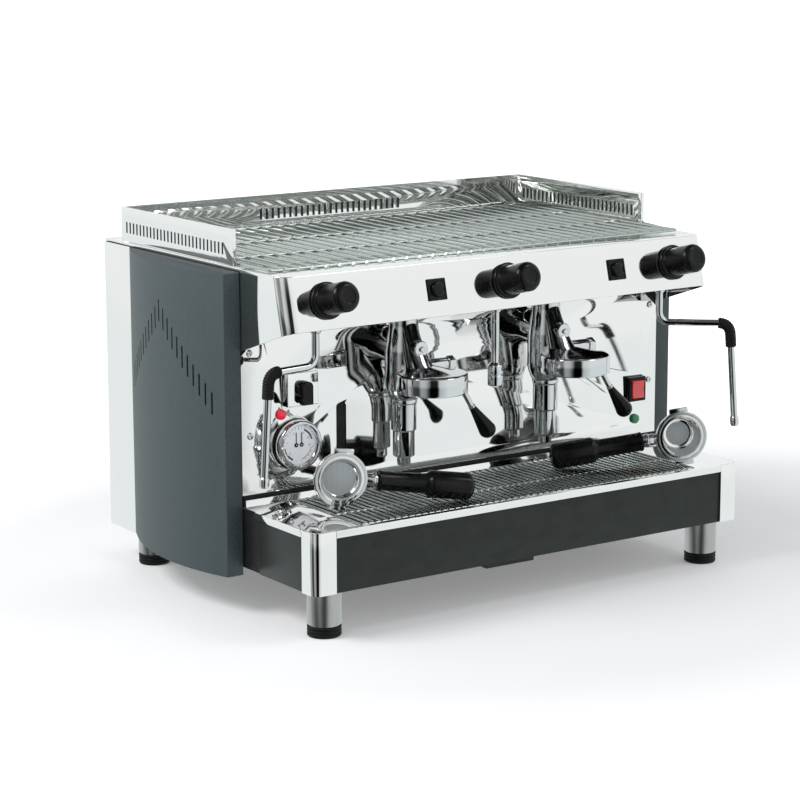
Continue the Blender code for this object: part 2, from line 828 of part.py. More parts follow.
def make_tray_surround():
    band_half = BASE_WIDTH / 2 - POST_FRONT_LEG - CLEARANCE
    side_start = POST_SIDE_LEG + CLEARANCE
    overlap = SHEET / 2
    radius = POST_CORNER_RADIUS - APRON_FRONT
    wide = BASE_WIDTH / 2
    right = [
        (band_half, 0, 0), (band_half, APRON_FRONT, 0), (PLATE_HALF, APRON_FRONT, radius),
        (PLATE_HALF, side_start, 0), (wide, side_start, 0), (wide, BAND_END, 0),
        (PLATE_HALF, BAND_END, 0), (PLATE_HALF, HOOD_BACK, 0),
    ]
    left = [(-x, d, r) for x, d, r in reversed(right)]
    plate = extruded(rounded(right + left), seen_from_above(PLATE_BOTTOM), SHEET)
    parts = [
        box(-band_half, band_half, 0, POST_SHEET, BAND_BOTTOM, PLATE_BOTTOM + overlap),
        box(-UPSTAND_HALF, UPSTAND_HALF, UPSTAND_FRONT, UPSTAND_BACK,
            TRAY_TOP - overlap, TRAY_TOP + UPSTAND_HEIGHT),
    ]
    for side in (-1, 1):
        low, high = sorted((side * (PLATE_HALF + CLEARANCE), side * wide))
        parts.append(box(low, high, side_start, BAND_END, BAND_BOTTOM, PLATE_BOTTOM + overlap))
    opening = box(-TRAY_OPENING_HALF, TRAY_OPENING_HALF, TRAY_OPENING_FRONT, TRAY_OPENING_BACK,
                  PLATE_BOTTOM - OVERRUN, TRAY_TOP + OVERRUN)
    piece("tray_surround", "polished_steel", plate, parts, [opening])


def make_drip_basin():
    half = TRAY_OPENING_HALF - CLEARANCE
    front = TRAY_OPENING_FRONT + CLEARANCE
    back = TRAY_OPENING_BACK - CLEARANCE
    shell = box(-half, half, front, back, BASIN_BOTTOM, BASIN_TOP)
    hollow = box(-half + BASIN_WALL, half - BASIN_WALL, front + BASIN_WALL, back - BASIN_WALL,
                 BASIN_BOTTOM + BASIN_WALL, BASIN_TOP + OVERRUN)
    drain = (SUMP_CENTRE, (front + back) / 2)
    stub = rod(at(*drain, BASIN_BOTTOM - DRAIN_LENGTH), at(*drain, BASIN_BOTTOM + BASIN_WALL / 2),
               DRAIN_BORE + BASIN_WALL)
    bore = rod(at(*drain, BASIN_BOTTOM - DRAIN_LENGTH - OVERRUN), at(*drain, BASIN_BOTTOM + OVERRUN),
               DRAIN_BORE)
    piece("drip_basin", "brushed_steel", shell, [stub], [hollow, bore])


def make_drip_grid():
    half = TRAY_OPENING_HALF - GRID_MARGIN
    front = TRAY_OPENING_FRONT + GRID_MARGIN
    back = TRAY_OPENING_BACK - GRID_MARGIN
    xs = even_spans(-half, half, DRIP_BARS, DRIP_BAR_WIDTH)
    ds = even_spans(front, back, GRID_RAILS, GRID_RAIL_WIDTH)
    grid = lattice(xs, ds, lambda i, j: i % 2 == 0 or j % 2 == 0, GRID_BOTTOM, GRID_THICKNESS)
    piece("drip_grid", "grid_wire", grid)


def make_foot(name, x, d):
    groove = FOOT_RADIUS - RUBBER_GROOVE
    profile = [(0, 0), (FOOT_RADIUS, 0), (FOOT_RADIUS, RUBBER_HEIGHT - RUBBER_GROOVE)]
    profile += [(groove, RUBBER_HEIGHT - RUBBER_GROOVE), (groove, RUBBER_HEIGHT), (FOOT_RADIUS, RUBBER_HEIGHT)]
    profile += [(FOOT_RADIUS, FOOT_HEIGHT), (STUD_RADIUS, FOOT_HEIGHT)]
    profile += [(STUD_RADIUS, FOOT_HEIGHT + STUD_LENGTH), (0, FOOT_HEIGHT + STUD_LENGTH)]
    piece(name, "rubber", turned(profile, Matrix.Translation(at(x, d, 0))))


# Chassis and body

def make_chassis():
    radius = POST_CORNER_RADIUS - APRON_FRONT - SHEET - CLEARANCE
    front = APRON_FRONT + SHEET + CLEARANCE
    wall_half = PLATE_HALF - SHEET - CLEARANCE
    wall_top = PLATE_BOTTOM - CLEARANCE
    cover_half = REAR_HALF_WIDTH - SHEET - CLEARANCE
    pan_end = MACHINE_DEPTH - SHEET - CLEARANCE
    rear_radius = REAR_CORNER_RADIUS - SHEET - CLEARANCE
    pan = rounded([
        (-wall_half, front, radius), (wall_half, front, radius), (wall_half, FRAME_END, 0),
        (cover_half, FRAME_END, 0), (cover_half, pan_end, rear_radius), (-cover_half, pan_end, rear_radius),
        (-cover_half, FRAME_END, 0), (-wall_half, FRAME_END, 0),
    ])
    walls = extruded(sheet_outline(wall_half, front, FRAME_END, SHEET),
                     seen_from_above(PAN_BOTTOM + PAN_THICKNESS / 2), wall_top - PAN_BOTTOM - PAN_THICKNESS / 2)
    sill = box(-wall_half + SHEET / 2, wall_half - SHEET / 2, SPLASH_FRONT, SPLASH_FRONT + SILL_THICKNESS,
               PAN_BOTTOM + PAN_THICKNESS / 2, SPLASH_BOTTOM - CLEARANCE)
    parts = [walls, sill]
    for d in BEARER_DEPTHS:
        parts.append(box(-wall_half + SHEET / 2, wall_half - SHEET / 2, d, d + BEARER_SIZE,
                         BASIN_BOTTOM - CLEARANCE - BEARER_SIZE, BASIN_BOTTOM - CLEARANCE))
    rear_post = FRAME_END - FRAME_BAR
    for side in (-1, 1):
        low, high = sorted((side * FRAME_HALF_WIDTH, side * (FRAME_HALF_WIDTH - FRAME_BAR)))
        for d in (FRAME_FRONT, rear_post):
            parts.append(box(low, high, d, d + FRAME_BAR, PAN_BOTTOM + PAN_THICKNESS / 2, FRAME_TOP))
        parts.append(box(low, high, FRAME_FRONT + FRAME_BAR / 2, FRAME_END - FRAME_BAR / 2,
                         FRAME_TOP - FRAME_BAR, FRAME_TOP))
    inside = FRAME_HALF_WIDTH - FRAME_BAR / 2
    for d in (FRAME_FRONT, rear_post):
        parts.append(box(-inside, inside, d, d + FRAME_BAR, FRAME_TOP - FRAME_BAR, FRAME_TOP))
    parts.append(box(-inside, inside, CROSSBAR_FRONT, CROSSBAR_FRONT + CROSSBAR_THICKNESS,
                     NECK_HEIGHT - CROSSBAR_WIDTH / 2, NECK_HEIGHT + CROSSBAR_WIDTH / 2))
    cuts = []
    for side in (-1, 1):
        x = side * SADDLE_SPREAD
        parts.append(box(x - SADDLE_LENGTH / 2, x + SADDLE_LENGTH / 2, BOILER_DEPTH - SADDLE_WIDTH / 2,
                         BOILER_DEPTH + SADDLE_WIDTH / 2, PAN_TOP - PAN_THICKNESS / 2,
                         BOILER_HEIGHT - BOILER_RADIUS + SADDLE_HUG))
    cuts.append(rod(at(-SADDLE_SPREAD - SADDLE_LENGTH, BOILER_DEPTH, BOILER_HEIGHT),
                    at(SADDLE_SPREAD + SADDLE_LENGTH, BOILER_DEPTH, BOILER_HEIGHT), BOILER_RADIUS + CLEARANCE))
    parts.append(box(SUMP_CENTRE - SUMP_WIDTH / 2, SUMP_CENTRE + SUMP_WIDTH / 2, SUMP_FRONT,
                     SUMP_FRONT + SUMP_LENGTH, PAN_BOTTOM - SUMP_DROP, PAN_BOTTOM + PAN_THICKNESS / 2))
    glands = []
    holes = []
    for k in (-1, 0, 1):
        spot = (k * GLAND_SPACING, GLAND_DEPTH)
        low = PAN_BOTTOM - GLAND_LENGTH
        high = PAN_TOP + GLAND_LENGTH
        glands.append(rod(at(*spot, low), at(*spot, high), GLAND_RADIUS, SMALL_SIDES))
        holes.append(rod(at(*spot, low - OVERRUN), at(*spot, high + OVERRUN), GLAND_BORE, SMALL_SIDES))
    parts.append(merged(glands))
    for x, d in foot_places():
        holes.append(rod(at(x, d, PAN_BOTTOM - OVERRUN), at(x, d, PAN_TOP + OVERRUN), STUD_RADIUS + CLEARANCE,
                         SMALL_SIDES))
    cuts.append(merged(holes))
    base = extruded(pan, seen_from_above(PAN_BOTTOM), PAN_THICKNESS)
    piece("chassis", "frame_paint", base, parts, cuts)


def foot_places():
    spots = []
    for d in (FRONT_FOOT_DEPTH, BACK_FOOT_DEPTH):
        for side in (-1, 1):
            spots.append((side * FOOT_SPREAD, d))
    return spots


def make_splash_panel():
    half = SPLASH_HALF_WIDTH
    outline = [
        (-half, SPLASH_BOTTOM), (half, SPLASH_BOTTOM), (half, SPLASH_TOP - SPLASH_CHAMFER_FALL),
        (half - SPLASH_CHAMFER_RUN, SPLASH_TOP), (-half + SPLASH_CHAMFER_RUN, SPLASH_TOP),
        (-half, SPLASH_TOP - SPLASH_CHAMFER_FALL),
    ]
    front = SPLASH_FRONT - OVERRUN
    back = SPLASH_BACK + OVERRUN
    holes = []
    for side in (-1, 1):
        x = side * GROUP_SPREAD
        holes.append(rod(at(x, front, NECK_HEIGHT), at(x, back, NECK_HEIGHT), NECK_RADIUS + CLEARANCE))
    for (x, z), radius in ((GAUGE_CENTRE, GAUGE_BODY_RADIUS), (RED_LAMP_CENTRE, LAMP_STEM_RADIUS),
                           (GREEN_LAMP_CENTRE, LAMP_STEM_RADIUS)):
        holes.append(rod(at(x, front, z), at(x, back, z), radius + CLEARANCE))
    x, z = SWITCH_CENTRE
    wide = SWITCH_BODY[0] / 2 + CLEARANCE
    high = SWITCH_BODY[1] / 2 + CLEARANCE
    holes.append(box(x - wide, x + wide, front, back, z - high, z + high))
    slot = sight_outline(SIGHT_WIDTH / 2)
    holes.append(extruded(slot, seen_from_front(front), back - front))
    plate = extruded(outline, seen_from_front(SPLASH_FRONT), SHEET)
    piece("splash_panel", "polished_steel", plate, (), [merged(holes)])


def sight_outline(half):
    corner = half * SIGHT_ROUNDING_SHARE
    low = SIGHT_BOTTOM
    high = SIGHT_TOP
    return rounded([
        (SIGHT_CENTRE - half, low, corner), (SIGHT_CENTRE + half, low, corner),
        (SIGHT_CENTRE + half, high, corner), (SIGHT_CENTRE - half, high, corner),
    ])


def panel_arc(inset):
    """Plan points of a side panel's curve, from its back edge to its front."""
    start = Vector((REAR_HALF_WIDTH, PANEL_BACK))
    end = Vector((REAR_HALF_WIDTH + PANEL_STEP, PANEL_FRONT + SHEET))
    chord = end - start
    radius = (chord.length ** 2 / 4 + PANEL_BULGE ** 2) / (2 * PANEL_BULGE)
    outward = Vector((-chord.y, chord.x)).normalized()
    centre = (start + end) / 2 - outward * (radius - PANEL_BULGE)
    first = start - centre
    sweep = first.angle_signed(end - centre)
    points = []
    for k in range(PANEL_ARC_STEPS + 1):
        turn = Matrix.Rotation(-sweep * k / PANEL_ARC_STEPS, 2)
        points.append(centre + turn @ first * (1 - inset / radius))
    return points


def make_side_panel(name, side):
    edge = REAR_HALF_WIDTH
    outer = [(side * p.x, p.y) for p in panel_arc(0)]
    outer += [(side * (edge + PANEL_STEP), PANEL_FRONT), (side * edge, PANEL_FRONT)]
    inner_arc = panel_arc(SHEET)
    inner = [(side * p.x, p.y) for p in inner_arc[1:-1]]
    tip = side * (edge + PANEL_STEP - SHEET)
    inner += [(tip, PANEL_FRONT + SHEET), (side * (edge - OVERRUN), PANEL_FRONT + SHEET)]
    inner += [(side * (edge - OVERRUN), inner_arc[1].y)]
    hollow = extruded(inner, seen_from_above(PANEL_BOTTOM + SHEET), PANEL_TOP - PANEL_BOTTOM - 2 * SHEET)
    reach = edge + PANEL_STEP + PANEL_BULGE
    slots = []
    arms = ((-1, VENT_APEX_DEPTH - PANEL_FRONT - VENT_FRONT_MARGIN),
            (1, PANEL_BACK - VENT_BACK_MARGIN - VENT_APEX_DEPTH))
    for arm, room in arms:
        for k in range((arm + 1) // 2, int(room / VENT_PITCH) + 1):
            d = VENT_APEX_DEPTH + arm * k * VENT_PITCH
            top = VENT_APEX_TOP - k * VENT_DROP
            low, high = sorted((side * (edge + PANEL_STEP / 2), side * reach))
            slots.append(box(low, high, d - VENT_WIDTH / 2, d + VENT_WIDTH / 2, top - VENT_HEIGHT, top))
    shell = extruded(outer, seen_from_above(PANEL_BOTTOM), PANEL_TOP - PANEL_BOTTOM)
    piece(name, "panel_paint", shell, (), [hollow, merged(slots)])


def make_rear_cover():
    outer = REAR_HALF_WIDTH
    inner = outer - SHEET
    front = PANEL_BACK + CLEARANCE
    back = MACHINE_DEPTH
    radius = REAR_CORNER_RADIUS
    outline = rounded([
        (-outer, front, 0), (-outer, back, radius), (outer, back, radius), (outer, front, 0),
        (inner, front, 0), (inner, back - SHEET, radius - SHEET), (-inner, back - SHEET, radius - SHEET),
        (-inner, front, 0),
    ])
    slots = []
    for column in (-1, 1):
        x = column * LOUVRE_WIDTH
        for k in range(LOUVRES):
            z = PANEL_TOP - LOUVRE_HEIGHT_FROM_TOP - k * LOUVRE_PITCH
            slots.append(box(x - LOUVRE_WIDTH / 2, x + LOUVRE_WIDTH / 2, back - SHEET - OVERRUN, back + OVERRUN,
                             z, z + LOUVRE_HEIGHT))
    shell = extruded(outline, seen_from_above(REAR_BOTTOM), PANEL_TOP - REAR_BOTTOM)
    piece("rear_cover", "polished_steel", shell, (), [merged(slots)])


def make_top_deck():
    deck = box(-DECK_HALF_WIDTH, DECK_HALF_WIDTH, SPLASH_FRONT, MACHINE_DEPTH - SHEET, DECK_BOTTOM, DECK_TOP)
    piece("top_deck", "polished_steel", deck)


def hood_block(inset, top, sloped):
    """Solid of the hood's plan, whose front leans back as it rises.

    Its underside follows the slope of the cheeks, or else lies level below them.
    """
    half = HOOD_HALF_WIDTH - inset
    radius = HOOD_CORNER_RADIUS - inset
    lean = math.hypot(1, HOOD_SLOPE)
    front = HOOD_TOP_DEPTH + inset * lean
    back = HOOD_BACK + (OVERRUN if inset else 0)
    outline = rounded([(-half, back, 0), (-half, front, radius), (half, front, radius), (half, back, 0)],
                      HOOD_CORNER_STEPS)
    bm = bmesh.new()
    roof = []
    floor = []
    for x, d in outline:
        slope = 0 if d == back else HOOD_SLOPE
        d_top = d - (DECK_TOP - top) * slope
        if sloped:
            d_zero = d - DECK_TOP * slope
            z = (HOOD_LIP_HEIGHT - CHEEK_SLOPE * (d_zero - HOOD_LIP_DEPTH)) / (1 + CHEEK_SLOPE * slope)
        else:
            z = HOOD_CHEEK_HEIGHT - OVERRUN
        d_low = d - (DECK_TOP - z) * slope
        roof.append(bm.verts.new(at(x, d_top, top)))
        floor.append(bm.verts.new(at(x, d_low, z)))
    bm.faces.new(roof)
    bm.faces.new(floor)
    for i, low in enumerate(floor):
        j = (i + 1) % len(floor)
        bm.faces.new((low, floor[j], roof[j], roof[i]))
    return closed_mesh(bm)


def make_hood():
    shell = hood_block(0, DECK_TOP, True)
    hollow = hood_block(SHEET, DECK_TOP - SHEET, False)
    holes = []
    for x in (-TAP_SPREAD, 0, TAP_SPREAD):
        through = [(0, -OVERRUN - SHEET), (COLLAR_RADIUS + CLEARANCE, -OVERRUN - SHEET),
                   (COLLAR_RADIUS + CLEARANCE, OVERRUN), (0, OVERRUN)]
        holes.append(turned(through, on_hood(x, TAP_HEIGHT)))
    wide = BEZEL_BODY_SIZE / 2 + CLEARANCE
    for x in BUTTON_CENTRES:
        holes.append(block((-wide, -wide, -OVERRUN - SHEET), (wide, wide, OVERRUN), on_hood(x, BUTTON_HEIGHT)))
    piece("hood", "polished_steel", shell, (), [hollow, merged(holes)])


def rail_outline(outer, width, front, back):
    inner = outer - width
    return [(-outer, front), (-outer, back), (outer, back), (outer, front), (inner, front),
            (inner, back - width), (-inner, back - width), (-inner, front)]


def make_cup_rail():
    walls = extruded(rail_outline(RAIL_HALF_WIDTH, RAIL_WALL, RAIL_FRONT, RAIL_BACK), seen_from_above(ON_DECK),
                     RAIL_TOP - ON_DECK)
    hem = extruded(rail_outline(RAIL_HALF_WIDTH, RAIL_HEM_WIDTH, RAIL_FRONT, RAIL_BACK),
                   seen_from_above(RAIL_TOP - RAIL_HEM_HEIGHT), RAIL_HEM_HEIGHT)
    parts = [hem]
    slots = []
    low = SLOT_CENTRE_HEIGHT - SLOT_HEIGHT / 2
    high = SLOT_CENTRE_HEIGHT + SLOT_HEIGHT / 2
    middle = (RAIL_FRONT + RAIL_POST_LENGTH + RAIL_BACK) / 2
    room = RAIL_BACK - RAIL_FRONT - RAIL_POST_LENGTH - 2 * SLOT_MARGIN - SLOT_WIDTH
    side_slots = 1 + int(room / SIDE_SLOT_PITCH)
    for side in (-1, 1):
        x0, x1 = sorted((side * RAIL_HALF_WIDTH, side * (RAIL_HALF_WIDTH - RAIL_POST_WIDTH)))
        parts.append(box(x0, x1, RAIL_FRONT - RAIL_POST_LENGTH / 2, RAIL_FRONT + RAIL_POST_LENGTH / 2,
                         ON_DECK, RAIL_TOP))
        x0, x1 = sorted((side * (RAIL_HALF_WIDTH + OVERRUN), side * (RAIL_HALF_WIDTH - RAIL_WALL - OVERRUN)))
        for k in range(side_slots):
            d = middle + (k - (side_slots - 1) / 2) * SIDE_SLOT_PITCH
            slots.append(box(x0, x1, d - SLOT_WIDTH / 2, d + SLOT_WIDTH / 2, low, high))
    for k in range(REAR_SLOTS):
        x = (k - (REAR_SLOTS - 1) / 2) * REAR_SLOT_PITCH
        slots.append(box(x - SLOT_WIDTH / 2, x + SLOT_WIDTH / 2, RAIL_BACK - RAIL_WALL - OVERRUN,
                         RAIL_BACK + OVERRUN, low, high))
    piece("cup_rail", "polished_steel", walls, parts, [merged(slots)])


def make_cup_grid():
    xs = even_spans(-CUP_GRID_HALF_WIDTH, CUP_GRID_HALF_WIDTH, CUP_BARS, CUP_BAR_WIDTH)
    ds = even_spans(CUP_GRID_FRONT, CUP_GRID_BACK, GRID_RAILS, GRID_RAIL_WIDTH)
    grid = lattice(xs, ds, lambda i, j: i % 2 == 0 or j % 2 == 0, ON_DECK, GRID_THICKNESS)
    piece("cup_grid", "grid_wire", grid)


# Boiler and pump

def along_x(x, d, z):
    """Matrix at that place whose z runs to the right."""
    return frame_along(at(x, d, z), (1, 0, 0))


def make_boiler():
    half = BOILER_LENGTH / 2
    shoulder = BOILER_RADIUS * DOME_SHOULDER_SHARE
    middle = BOILER_DOME * DOME_HEIGHT_SHARE
    profile = [(0, -half - BOILER_DOME), (shoulder, -half - middle), (BOILER_RADIUS, -half),
               (BOILER_RADIUS, half), (shoulder, half + middle), (0, half + BOILER_DOME)]
    piece("boiler", "copper", turned(profile, along_x(0, BOILER_DEPTH, BOILER_HEIGHT)))


def make_pump_motor():
    floor = PAN_TOP + CLEARANCE
    z = floor + PUMP_BASE_HEIGHT + PUMP_RADIUS - SHEET
    half = PUMP_LENGTH / 2
    motor = turned([
        (0, -half - PUMP_HEAD_LENGTH), (PUMP_HEAD_RADIUS, -half - PUMP_HEAD_LENGTH), (PUMP_HEAD_RADIUS, -half),
        (PUMP_RADIUS, -half), (PUMP_RADIUS, half), (0, half),
    ], along_x(PUMP_CENTRE, PUMP_DEPTH, z))
    seat = box(PUMP_CENTRE - PUMP_BASE_LENGTH / 2, PUMP_CENTRE + PUMP_BASE_LENGTH / 2,
               PUMP_DEPTH - PUMP_BASE_WIDTH / 2, PUMP_DEPTH + PUMP_BASE_WIDTH / 2,
               floor, floor + PUMP_BASE_HEIGHT + PUMP_RADIUS / 2)
    piece("pump_motor", "frame_paint", motor, [seat])


# Taps, knobs, spout and wands

def make_valve(name, x):
    front = COLLAR_LENGTH
    body = turned([
        (0, -VALVE_LENGTH), (VALVE_RADIUS, -VALVE_LENGTH), (VALVE_RADIUS, -SHEET - CLEARANCE),
        (COLLAR_RADIUS, -SHEET - CLEARANCE), (COLLAR_RADIUS, front), (SPINDLE_RADIUS, front),
        (SPINDLE_RADIUS, front + SPINDLE_LENGTH), (0, front + SPINDLE_LENGTH),
    ], on_hood(x, TAP_HEIGHT))
    outlet = rod(at(x, OUTLET_DEPTH, OUTLET_HEIGHT), at(x, OUTLET_DEPTH, TAP_HEIGHT - VALVE_RADIUS / 2),
                 OUTLET_RADIUS, SMALL_SIDES)
    piece(name, "black_plastic", body, [outlet])


def make_knob(name, x):
    base = COLLAR_LENGTH + CLEARANCE
    bore = SPINDLE_RADIUS + CLEARANCE
    profile = [
        (0, base + SPINDLE_LENGTH), (bore, base + SPINDLE_LENGTH), (bore, base), (KNOB_FLANGE_RADIUS, base),
        (KNOB_FLANGE_RADIUS, base + KNOB_FLANGE_LENGTH), (KNOB_RADIUS, base + KNOB_FLANGE_LENGTH),
    ]
    end = base + KNOB_LENGTH
    for k in range(ARC_STEPS + 1):
        angle = math.pi / 2 * k / ARC_STEPS
        profile.append((KNOB_RADIUS - KNOB_ROUNDING * (1 - math.cos(angle)),
                        end - KNOB_ROUNDING * (1 - math.sin(angle))))
    profile.append((0, end))
    piece(name, "black_plastic", turned(profile, Matrix()), place=on_hood(x, TAP_HEIGHT))


def make_water_spout():
    top = OUTLET_HEIGHT - CLEARANCE
    neck = top - WAND_NUT_LENGTH
    rings = [
        (at(0, OUTLET_DEPTH, SPOUT_BOTTOM), SPOUT_NOZZLE_RADIUS), (at(0, OUTLET_DEPTH, SPOUT_NOZZLE_TOP),
                                                                  SPOUT_NOZZLE_RADIUS),
        (at(0, OUTLET_DEPTH, SPOUT_NOZZLE_TOP), SPOUT_RADIUS), (at(0, OUTLET_DEPTH, neck), SPOUT_RADIUS),
        (at(0, OUTLET_DEPTH, neck), WAND_NUT_RADIUS), (at(0, OUTLET_DEPTH, top), WAND_NUT_RADIUS),
    ]
    bore = rod(at(0, OUTLET_DEPTH, SPOUT_BOTTOM - OVERRUN),
               at(0, OUTLET_DEPTH, SPOUT_BOTTOM + SPOUT_NOZZLE_RADIUS), SPOUT_NOZZLE_RADIUS - SHEET)
    piece("water_spout", "chrome", stacked(rings), (), [bore])


def wand_path(side):
    """Path of a wand from its nut to its tip, about the hinge axis at the nut."""
    if side < 0:
        reach, lean, knee, tip = LEFT_WAND_REACH, LEFT_WAND_LEAN, LEFT_WAND_KNEE_DROP, LEFT_WAND_TIP_DROP
    else:
        reach, lean, knee, tip = RIGHT_WAND_REACH, RIGHT_WAND_LEAN, RIGHT_WAND_KNEE_DROP, RIGHT_WAND_TIP_DROP
    x = side * TAP_SPREAD
    arm = Vector((x + reach[0], OUTLET_DEPTH + reach[1]))
    corners = [
        at(x, OUTLET_DEPTH, OUTLET_HEIGHT - CLEARANCE - WAND_NUT_LENGTH / 2),
        at(x, OUTLET_DEPTH, OUTLET_HEIGHT - WAND_ELBOW_DROP),
        at(arm.x, arm.y, OUTLET_HEIGHT - knee),
        at(arm.x + lean[0], arm.y + lean[1], OUTLET_HEIGHT - tip),
    ]
    pivot = at(x, OUTLET_DEPTH, OUTLET_HEIGHT)
    return [corner - pivot for corner in bent(corners, WAND_ELBOW_RADIUS)], pivot


def make_wand(name, side):
    path, pivot = wand_path(side)
    tube = swept(path, [WAND_RADIUS] * len(path))
    ball = rod((0, 0, -CLEARANCE), (0, 0, -CLEARANCE - WAND_NUT_LENGTH), WAND_NUT_RADIUS, SMALL_SIDES)
    way = (path[-1] - path[-2]).normalized()
    tip = rod(path[-1] - way * WAND_TIP_LENGTH, path[-1] + way * CLEARANCE, WAND_TIP_RADIUS, SMALL_SIDES)
    piece(name, "chrome", tube, [ball, tip], place=Matrix.Translation(pivot))


def make_wand_grip(name, side):
    path, pivot = wand_path(side)
    bend = path[-2 - BEND_STEPS:-1]
    before = (path[-3 - BEND_STEPS] - bend[0]).normalized()
    after = (path[-1] - bend[-1]).normalized()
    route = [bend[0] + before * WAND_GRIP_LEAD] + bend + [bend[-1] + after * WAND_GRIP_LENGTH]
    sleeve = swept(route, [WAND_GRIP_RADIUS] * len(route), SMALL_SIDES, WAND_RADIUS + CLEARANCE)
    piece(name, "rubber", sleeve, place=Matrix.Translation(pivot))


# Buttons on the hood

def make_button_bezel(name, x):
    wide = BEZEL_SIZE / 2
    body = BEZEL_BODY_SIZE / 2
    frame = block((-wide, -wide, CLEARANCE), (wide, wide, BEZEL_PROUD))
    shaft = block((-body, -body, -BEZEL_BODY_LENGTH), (body, body, BEZEL_PROUD / 2))
    floor = BUTTON_PROUD - BUTTON_LENGTH - BUTTON_TRAVEL - CLEARANCE
    radius = BUTTON_RADIUS + CLEARANCE
    top = BEZEL_PROUD + OVERRUN
    bore = turned([(0, floor), (radius, floor), (radius, top), (0, top)], Matrix())
    piece(name, "black_plastic", frame, [shaft], [bore], on_hood(x, BUTTON_HEIGHT))


def make_button(name, x):
    edge = BUTTON_RADIUS * BUTTON_EDGE_SHARE
    profile = [(0, BUTTON_PROUD - BUTTON_LENGTH), (BUTTON_RADIUS, BUTTON_PROUD - BUTTON_LENGTH),
               (BUTTON_RADIUS, BUTTON_PROUD), (edge, BUTTON_PROUD + BUTTON_DOME / 2),
               (0, BUTTON_PROUD + BUTTON_DOME)]
    piece(name, "black_plastic", turned(profile, Matrix()), place=on_hood(x, BUTTON_HEIGHT))


# Controls on the splash panel

def make_selector():
    x, z = SELECTOR_CENTRE
    wide, high = SELECTOR_BOX
    front = ON_SPLASH - SELECTOR_PROUD
    shaft_end = front + SELECTOR_PROUD / 2
    plate = box(x - wide / 2, x + wide / 2, front, ON_SPLASH, z - high / 2, z + high / 2)
    bore = rod(at(x, front - OVERRUN, z), at(x, shaft_end + CLEARANCE, z), SELECTOR_SHAFT_RADIUS + CLEARANCE,
               SMALL_SIDES)
    piece("selector_plate", "chrome", plate, (), [bore])
    length = SELECTOR_KNOB_LENGTH
    knob = turned([
        (0, -SELECTOR_PROUD / 2), (SELECTOR_SHAFT_RADIUS, -SELECTOR_PROUD / 2),
        (SELECTOR_SHAFT_RADIUS, CLEARANCE),
        (SELECTOR_KNOB_RADIUS, CLEARANCE), (SELECTOR_KNOB_RADIUS, length), (0, length),
    ], Matrix())
    half = SELECTOR_POINTER_WIDTH / 2
    pointer = block((-half, -SELECTOR_POINTER_TAIL, length / 2),
                    (half, SELECTOR_KNOB_RADIUS, length + SELECTOR_POINTER_DEPTH))
    piece("selector_knob", "black_plastic", knob, [pointer], place=facing_front(x, front, z))


def make_lamp(name, finish_name, centre):
    profile = [
        (0, -LAMP_STEM_LENGTH), (LAMP_STEM_RADIUS, -LAMP_STEM_LENGTH), (LAMP_STEM_RADIUS, 0), (LAMP_RADIUS, 0),
        (LAMP_RADIUS, LAMP_PROUD / 2), (LAMP_RADIUS * LAMP_EDGE_SHARE, LAMP_PROUD), (0, LAMP_PROUD),
    ]
    piece(name, finish_name, turned(profile, facing_front(centre[0], ON_SPLASH, centre[1]), SMALL_SIDES))


def make_gauge():
    place = facing_front(GAUGE_CENTRE[0], ON_SPLASH, GAUGE_CENTRE[1])
    inner = GAUGE_RADIUS - GAUGE_LIP
    floor = GAUGE_PROUD - GAUGE_RECESS
    case = [
        (0, -GAUGE_BODY_LENGTH), (GAUGE_BODY_RADIUS, -GAUGE_BODY_LENGTH), (GAUGE_BODY_RADIUS, 0),
        (GAUGE_RADIUS, 0),
        (GAUGE_RADIUS, GAUGE_PROUD - SHEET), (GAUGE_RADIUS - SHEET, GAUGE_PROUD), (inner, GAUGE_PROUD),
        (inner, floor), (0, floor),
    ]
    piece("gauge_case", "black_plastic", turned(case, place))
    disc = inner - CLEARANCE
    low = floor + CLEARANCE
    face = low + DIAL_THICKNESS
    levels = (face + CLEARANCE, face + CLEARANCE * 2 + NEEDLE_THICKNESS)
    pins = []
    for side, level in ((-1, levels[0]), (1, levels[1])):
        x = side * NEEDLE_SPACING / 2
        end = level + NEEDLE_THICKNESS
        pins.append(rod(place @ Vector((x, 0, low + DIAL_THICKNESS / 2)), place @ Vector((x, 0, end)),
                        DIAL_PIN_RADIUS, SMALL_SIDES))
    dial = turned([(0, low), (disc, low), (disc, face), (0, face)], place)
    piece("gauge_dial", "dial_white", dial, [merged(pins)])
    for name, side, level in (("needle_boiler", -1, levels[0]), ("needle_pump", 1, levels[1])):
        make_needle(name, place @ Matrix.Translation((side * NEEDLE_SPACING / 2, 0, level)))
    glass = GAUGE_PROUD - SHEET
    profile = [(0, glass - GLASS_THICKNESS), (disc, glass - GLASS_THICKNESS), (disc, glass), (0, glass)]
    piece("gauge_glass", "clear_glass", turned(profile, place))


def make_needle(name, place):
    half = NEEDLE_WIDTH / 2
    hub = turned([(0, 0), (NEEDLE_HUB_RADIUS, 0), (NEEDLE_HUB_RADIUS, NEEDLE_THICKNESS), (0, NEEDLE_THICKNESS)],
                 Matrix(), SMALL_SIDES)
    blade = extruded([(-half, -NEEDLE_TAIL), (half, -NEEDLE_TAIL), (half / 2, NEEDLE_LENGTH),
                      (-half / 2, NEEDLE_LENGTH)], Matrix(), NEEDLE_THICKNESS)
    hole = rod((0, 0, -OVERRUN), (0, 0, OVERRUN), DIAL_PIN_RADIUS + CLEARANCE, SMALL_SIDES)
    piece(name, "black_plastic", hub, [blade], [hole], place)


